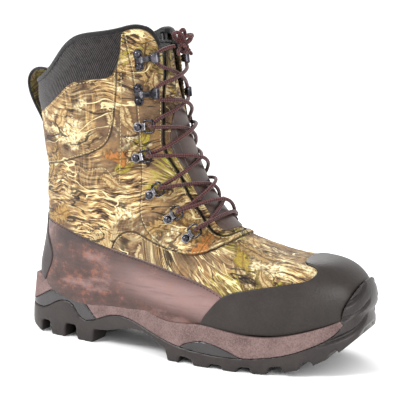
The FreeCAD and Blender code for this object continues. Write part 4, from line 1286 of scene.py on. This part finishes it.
def tongue():
    """The tongue's pad, its layers from front to back, and the gussets beside it."""
    stuffed_pad()
    low_enough = below([(60, 262), (110, 266), (150, 270)])
    cover = TongueCut(smallest(opening(1.6), low_enough), top=0.25, bottom=-1.5, wrinkle=0.12,
                      length=26, seed=21)
    panel("tongue_cloth", cover, "camo_fabric", ["tongue_cover"], "tongue")
    sides = smallest(opening(5.0), below([(60, 257), (110, 261), (160, 266)]))
    panel("tongue_leather_sides", Cut(sides, top=0.75, bottom=0.0), "tongue_leather", body="tongue")
    outline = smallest(opening(-10.2), low_enough + 0.6)
    edge = smallest(outline, 2.2 - outline, -opening(1.2))
    panel("tongue_edge_tape", Cut(edge, top=-3.45, bottom=-7.5), "binding_tape", body="tongue")
    middle = smallest(14.0 + FROM_MIDDLE, 12.0 - FROM_MIDDLE)
    patch = smallest(opening(5.0), middle, below([(60, 252), (110, 256), (160, 261)]))
    panel("tongue_leather_patch", Cut(patch, top=1.2, bottom=0.3), "tongue_leather", ["tongue_patch"],
          "tongue")
    back = smallest(opening(-10.0), low_enough)
    panel("tongue_backing", Cut(back, top=-6.4, bottom=-7.3), "inner_lining", ["tongue_lining"],
          "tongue")
    for side, field in SIDES.items():
        fold = smallest(opening(-18.7), -opening(-10.3), BELOW_RIM - 3.6, field)
        shape = Cut(fold, top=-4.6, bottom=-5.4, wrinkle=0.5, length=16, seed=23)
        piece = panel("gusset_fold_" + side, shape, "inner_lining", ["gusset_" + side], None)
        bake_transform(piece)


# ---- rim binding and pull loop -------------------------------------------------------------------
def soft_box(width, height, count=20, power=0.55):
    """A rectangle's outline with round corners."""
    angle = np.arange(count) * 2 * math.pi / count
    c, s = np.cos(angle), np.sin(angle)
    return np.stack([np.sign(c) * np.abs(c) ** power * width,
                     np.sign(s) * np.abs(s) ** power * height], axis=1)


BINDING_OUT = 1.15                        # the binding's faces over the main surface
BINDING_IN = -7.5
BINDING_IN_FRONT = -3.0                   # nearer than this to the opening it is thin
BINDING_THIN_AT = 15.0
BINDING_MIDDLE = -1.0                     # its middle under the rim, and half its height
BINDING_HALF = 2.75


def rim_binding():
    """The folded edge along the top, thick round the back and thin beside the tongue."""
    rows = []
    everything = np.concatenate([SKIN, OUT, BEHIND_OPENING[..., None]], axis=2)
    order = list(range(COLUMNS // 2, -1, -1)) + list(range(COLUMNS - 1, COLUMNS // 2, -1))
    for u in order:
        f = BELOW_RIM[:, u]
        crossing = np.nonzero((f[:-1] > 0) & (f[1:] <= 0))[0]
        if not len(crossing):
            continue
        v = crossing[-1]
        t = f[v] / (f[v] - f[v + 1])
        row = everything[v, u] * (1 - t) + everything[v + 1, u] * t
        if row[6] > 0.6:
            rows.append(row)
    rows, at = evenly(np.array(rows), 1.2)
    places, behind = rows[:, :3], rows[:, 6]
    ahead = unit(np.gradient(places, axis=0))
    out = unit(rows[:, 3:6] - ahead * np.sum(rows[:, 3:6] * ahead, axis=1, keepdims=True))
    up = np.cross(ahead, out)
    up *= np.sign(up[:, 2].mean())
    thin = np.clip((BINDING_THIN_AT - behind) / 3.0, 0, 1)
    inner = BINDING_IN + (BINDING_IN_FRONT - BINDING_IN) * eased(thin)
    ends = np.clip(np.minimum(at, at[-1] - at) / 1.8, 0.02, 1) ** 0.5
    box = soft_box(1.0, 1.0, 24, 0.7)
    profile = np.stack([
        (BINDING_OUT + inner)[:, None] / 2 + box[:, 0] * ((BINDING_OUT - inner) / 2 * ends)[:, None],
        BINDING_MIDDLE + box[:, 1] * (BINDING_HALF * ends)[:, None]], axis=2)
    points, faces, flat = swept(places, out, up, profile)
    add_mesh("rim_binding", points, faces, "binding_tape", flat=flat, nodes=["top_binding"])


PULL_LOOP = [(14.2, 179), (12.6, 191), (7.5, 202), (1, 213), (-4, 225), (-4.6, 234), (-0.5, 240.5),
             (7, 243), (14.5, 241), (18.5, 234), (19.2, 222)]

WEBBING_HALF = 10.6


def pull_loop():
    """The heel's pull loop: printed webbing with taped edges."""
    line = smooth_line(PULL_LOOP)
    line, at = evenly(np.stack([line[:, 0], line[:, 0] * 0, line[:, 1]], axis=1), 1.2)
    ahead = unit(np.gradient(line, axis=0))
    across = np.tile([0.0, 1.0, 0.0], (len(line), 1))
    left = np.cross(ahead, across)
    left *= np.sign(-left[0, 0])
    middle = line + left
    web = np.tile(soft_box(WEBBING_HALF, 0.85, 28, 0.35), (len(line), 1, 1))
    points, faces, flat = swept(middle, across, left, web)
    add_mesh("pull_loop_webbing", points, faces, "camo_fabric", flat=flat * (1, 1, 0) + (60, 0, 0.5),
             nodes=["pull_loop"])
    tapes = []
    for side in (-1, 1):
        tape = np.tile(soft_box(1.0, 1.15, 14, 0.6), (len(line), 1, 1))
        tapes.append(swept(middle + across * side * (WEBBING_HALF - 0.6), across, left, tape))
    points, faces, flat = joined(tapes)
    add_mesh("pull_loop_edging", points, faces, "binding_tape", flat=flat)


# ---- hooks ---------------------------------------------------------------------------------------
HOOK_ROWS = [((125, 251), (-3, 22)), ((125.5, 222), (-2, 22))]
HOOK_BEND = (14.6, 3.45)
HOOK_BEND_R = 2.8
PLATE_HALF, PLATE_WAIST, PLATE_TIP = 4.1, 3.2, 9.3   # half-widths at the rivets and between them
RIVET_T = 5.2
FACING_TOP = 2.2


def facing_frame(row, side):
    """A row's place on the facing, and the directions inward, along its edge and out."""
    (x, z), (dx, dz) = row
    sign = -1 if side == "lateral" else 1
    face = SKIN + OUT * FACING_TOP
    along, up = slopes(face)
    wrong = (face[..., 1] - middle_y(face[..., 0])) * sign < 0
    away = (face[..., 0] - x) ** 2 + (face[..., 2] - z) ** 2 + wrong * 1e6
    v, u = np.unravel_index(away.argmin(), away.shape)
    a, b = along[v, u], up[v, u]
    step = np.linalg.solve([[a[0], b[0]], [a[2], b[2]]], [x - face[v, u, 0], z - face[v, u, 2]])
    point = face[v, u] + a * step[0] + b * step[1]
    out = OUT[v, u]
    edge = unit(np.array([dx, -(out[0] * dx + out[2] * dz) / out[1], dz]))
    inward = unit(np.cross(edge, out))
    inward *= np.sign(inward[0])
    return point, np.stack([inward, np.cross(out, inward), out])


def hook_strap():
    """The hook's own strap, folded over the lace and ending in a wide pointed lip."""
    c0, n0 = HOOK_BEND
    bend = HOOK_BEND_R
    path = [(c, 0.65, 2.4 + 0.9 * max(c - 7, 0) / 7.6) for c in np.linspace(2, c0, 12)]
    for a in np.linspace(-80, 90, 14):
        r = math.radians(a)
        path.append((c0 + bend * math.cos(r), n0 + bend * math.sin(r), 3.6 + 0.9 * (a + 80) / 170))
    for c, half in ((13.6, 4.6), (12.6, 4.6), (11.6, 4.4), (10.6, 3.4), (9.8, 2.2), (9.2, 0.9)):
        path.append((c, n0 + bend, half))
    path = np.array(path)
    places = np.stack([path[:, 0], path[:, 0] * 0, path[:, 1]], axis=1)
    ahead = unit(np.gradient(places, axis=0))
    across = np.tile([0.0, 1.0, 0.0], (len(path), 1))
    thick = np.cross(ahead, across)
    profile = soft_box(1.0, 0.5, 20, 0.3)[None] * np.stack([path[:, 2], path[:, 2] * 0 + 1],
                                                          axis=1)[:, None]
    return swept(places, across, thick, profile)


def hook_plate():
    """The waisted plate under the hook's two rivets."""
    angle = np.arange(48) * 2 * math.pi / 48
    c = np.sign(PLATE_HALF * np.cos(angle))
    t = PLATE_TIP * np.sin(angle)
    tip = np.sqrt(np.maximum(PLATE_HALF ** 2 - (np.abs(t) - RIVET_T) ** 2, 0))
    waist = PLATE_WAIST + 0.9 * (np.abs(t) / RIVET_T) ** 2
    c = np.where(np.abs(t) > RIVET_T, c * tip, c * waist)
    c = np.where(np.abs(t) >= PLATE_TIP - 0.05, 0, c)
    outline = np.stack([c, t], axis=1)
    profile = np.stack([outline * 0.95, outline, outline, outline * 0.94])
    places = np.array([[0, 0, 0.15], [0, 0, 0.35], [0, 0, 0.95], [0, 0, 1.2]])
    return swept(places, np.tile([1.0, 0, 0], (4, 1)), np.tile([0, 1.0, 0], (4, 1)), profile)


def hooks():
    """The four speed hooks, as one piece of metal."""
    parts = []
    for row in HOOK_ROWS:
        for side in SIDES:
            point, axes = facing_frame(row, side)
            for shape, faces, flat in (hook_strap(), hook_plate()):
                parts.append((point + shape @ axes, faces, flat))
    points, faces, flat = joined(parts)
    add_mesh("speed_hook_straps", points, faces, "hardware_metal", flat=flat, nodes=["speed_hooks"])


# ---- sole ----------------------------------------------------------------------------------------
BUMPER_BACK, BUMPER_FOOT = 262, 24        # the bumper's grooves begin ahead of x and above z
GROOVES = (46.0, 57.0, 68.0)              # their places along a slanting measure
GROOVE_HALF = 1.4
GROOVE_DEPTH = 2.2


def sole():
    """The sole unit's pieces, softened, with grooves pressed into the toe bumper."""
    outsole = remeshed("outsole_rubber_unit", "outsole", 1.1, 3, "outsole_rubber")
    points = vectors_of(outsole.data.vertices, "co")
    heel = points / MM + ORIGIN
    y = heel[:, 1] - middle_y(heel[:, 0])
    side = np.abs(y)
    front = np.clip((heel[:, 0] - BUMPER_BACK) / 20, 0, 1)
    front *= np.clip((heel[:, 2] - BUMPER_FOOT) / 6, 0, 1)
    slant = heel[:, 2] * 0.85 + side * 0.55
    groove = np.zeros(len(points))
    for middle in GROOVES:
        groove = np.maximum(groove, np.exp(-((slant - middle) / GROOVE_HALF) ** 4))
    groove *= front * np.clip((side - 9) / 4, 0, 1)
    normals = vectors_of(outsole.data.vertex_normals, "vector")
    outward = np.stack([heel[:, 0] - 240, y, side * 0], axis=1)
    groove *= np.clip(np.sum(normals * unit(outward), axis=1) * 3 - 0.8, 0, 1)
    set_points(outsole.data, points - normals * (groove * GROOVE_DEPTH * MM)[:, None])
    remeshed("midsole_foam_unit", "midsole", 0.8, 3, "midsole_foam")
    remeshed("heel_stabilizer_shell", "heel_stabilizer", 0.9, 3, "stabilizer_plastic")
    for edge in SIDES:
        remeshed("forefoot_plug_" + edge, "forefoot_insert_" + edge, 0.8, 2, "stabilizer_plastic")


# ---- stitches ------------------------------------------------------------------------------------
def iso_lines(field, level, keep):
    """Lines along the surface where a field has a level, where keep is above 0."""
    data = np.concatenate([SKIN, OUT, keep[..., None], field[..., None]], axis=2).reshape(-1, 8)
    value = data[:, 7] - level
    value[np.abs(value) < 1e-6] = 1e-6
    sign = value > 0
    crossed = TRIANGLES[(sign[TRIANGLES].any(axis=1)) & (~sign[TRIANGLES].all(axis=1))]
    ways = {}
    for tri in crossed.tolist():
        edges = [tuple(sorted((tri[k], tri[(k + 1) % 3]))) for k in range(3)
                 if sign[tri[k]] != sign[tri[(k + 1) % 3]]]
        ways.setdefault(edges[0], []).append(edges[1])
        ways.setdefault(edges[1], []).append(edges[0])
    left = set(ways)
    lines = []
    while left:
        start = next((e for e in sorted(left) if len(ways[e]) == 1), min(left))
        chain = [start]
        left.discard(start)
        while True:
            after = [e for e in ways[chain[-1]] if e in left]
            if not after:
                break
            chain.append(after[0])
            left.discard(after[0])
        a, b = np.array(chain).T
        t = (value[a] / (value[a] - value[b]))[:, None]
        lines.append(data[a] * (1 - t) + data[b] * t)
    kept = []
    for line in lines:
        good = line[:, 6] > 0
        runs = np.split(np.arange(len(line)), np.nonzero(np.diff(good.astype(int)))[0] + 1)
        kept += [line[run] for run in runs if good[run[0]] and len(run) > 4]
    return kept


def look_up(grid, places):
    """A grid's values at the grid points nearest to some places."""
    flat = SKIN.reshape(-1, 3)
    found = []
    for chunk in np.array_split(places, max(len(places) // 60, 1)):
        away = ((flat[None, :, :] - chunk[:, None, :]) ** 2).sum(axis=2)
        found.append(grid.reshape(-1)[away.argmin(axis=1)])
    return np.concatenate(found)


def stitch_row(name, field, level, cut, finish, pitch=3.2, length=2.3, radius=0.33):
    """A row of raised stitches along one of a field's levels, lying on one panel."""
    parts = []
    for line in iso_lines(field, level, cut.field - 0.6):
        rows, at = evenly(line, 0.8)
        if at[-1] < pitch * 2:
            continue
        depth = look_up(cut.field, rows[:, :3])
        surface = rows[:, :3] + rows[:, 3:6] * (cut.height(depth, rows[:, :3]) + 0.12)[:, None]
        for start in np.arange(pitch / 2, at[-1] - length, pitch):
            spot = np.linspace(start, start + length, 5)
            place = np.stack([np.interp(spot, at, surface[:, i]) for i in range(3)], axis=1)
            out = unit(np.stack([np.interp(spot, at, rows[:, 3 + i]) for i in range(3)], axis=1))
            lift = np.array([-0.22, 0.0, 0.1, 0.0, -0.22])
            place = place + out * lift[:, None]
            ahead = unit(np.gradient(place, axis=0))
            across = np.cross(ahead, out)
            size = np.array([0.35, 0.9, 1.0, 0.9, 0.35]) * radius
            ring = soft_box(1.0, 1.0, 7, 1.0)[None] * size[:, None, None]
            parts.append(swept(place, across, out, ring))
    if parts:
        points, faces, flat = joined(parts)
        add_mesh(name, points, faces, finish, flat=flat)


def stitches():
    """Every visible seam's stitches."""
    for side in SIDES:
        facing = CUTS["facing_" + side]
        quarter = CUTS["quarter_" + side]
        foxing = CUTS["foxing_" + side]
        stitch_row("facing_stitch_" + side, IN_FACING, 1.9, facing, "pale_thread")
        stitch_row("opening_stitch_" + side, BEHIND_OPENING, 1.9, facing, "pale_thread")
        stitch_row("leather_stitch_" + side, IN_LEATHER, 2.2, foxing, "dark_thread")
        stitch_row("band_stitch_" + side, ABOVE_BAND, 0.0, quarter, "pale_thread", 2.6, 1.5, 0.3)
        stitch_row("ankle_stitch_" + side, ABOVE_ANKLE, 0.0, quarter, "pale_thread")
    stitch_row("collar_stitch", IN_COLLAR, -1.6, CUTS["shaft"], "pale_thread")
    stitch_row("shaft_stitch", IN_SHAFT, 1.8, CUTS["shaft"], "pale_thread")
    stitch_row("vamp_stitch", IN_VAMP, 1.8, CUTS["vamp"], "pale_thread")


# ---- stage ---------------------------------------------------------------------------------------
CAMERA_TARGET = Vector((0.00782, 0.00072, 0.13053))
CAMERA_DISTANCE = 0.84378
CAMERA_AZIMUTH = math.radians(27.16)
CAMERA_ELEVATION = math.radians(8.3)
CAMERA_LENS = 87.23
FLOOR_HALF = 6.0


def camera():
    """The photograph's view of the boot."""
    lens = bpy.data.cameras.new("camera")
    lens.lens = CAMERA_LENS
    lens.sensor_width = 36.0
    view = placed("camera", lens)
    back = Vector((math.sin(CAMERA_AZIMUTH) * math.cos(CAMERA_ELEVATION),
                   -math.cos(CAMERA_AZIMUTH) * math.cos(CAMERA_ELEVATION),
                   math.sin(CAMERA_ELEVATION)))
    view.location = CAMERA_TARGET + back * CAMERA_DISTANCE
    view.rotation_euler = back.to_track_quat("Z", "Y").to_euler()
    bpy.context.scene.camera = view


def floor():
    """A plain pale floor."""
    mesh = bpy.data.meshes.new("floor")
    half = FLOOR_HALF
    mesh.from_pydata([(-half, -half, 0), (half, -half, 0), (half, half, 0), (-half, half, 0)], [],
                     [(0, 1, 2, 3)])
    f = Finish("pale_floor", roughness=0.8, specular=0.2)
    mesh.materials.append(f.done((0.97, 0.97, 0.97, 1)))
    placed("floor", mesh)


def lamp(name, place, size, power, aim=(0, 0, 0.12)):
    light = bpy.data.lights.new(name, "AREA")
    light.size = size
    light.energy = power
    holder = placed(name, light)
    holder.location = place
    holder.rotation_euler = (Vector(place) - Vector(aim)).to_track_quat("Z", "Y").to_euler()


def studio():
    """A pale world and three soft lamps."""
    bpy.context.scene.view_settings.view_transform = "Standard"
    bpy.context.scene.view_settings.look = "Medium High Contrast"
    world = bpy.data.worlds.new("studio")
    bpy.context.scene.world = world
    world.use_nodes = True
    background = world.node_tree.nodes["Background"]
    background.inputs[0].default_value = (1, 1, 1, 1)
    background.inputs[1].default_value = 1.03
    lamp("key", (-0.9, -1.0, 1.2), 0.5, 20)
    lamp("fill", (1.2, -0.9, 0.5), 0.5, 6)
    lamp("back", (-0.6, 1.1, 1.0), 0.8, 6)


camera()
dress_frame()
lace_pieces()
upper_panels()
tongue()
rim_binding()
pull_loop()
hooks()
sole()
stitches()
floor()
studio()

bpy.context.view_layer.update()
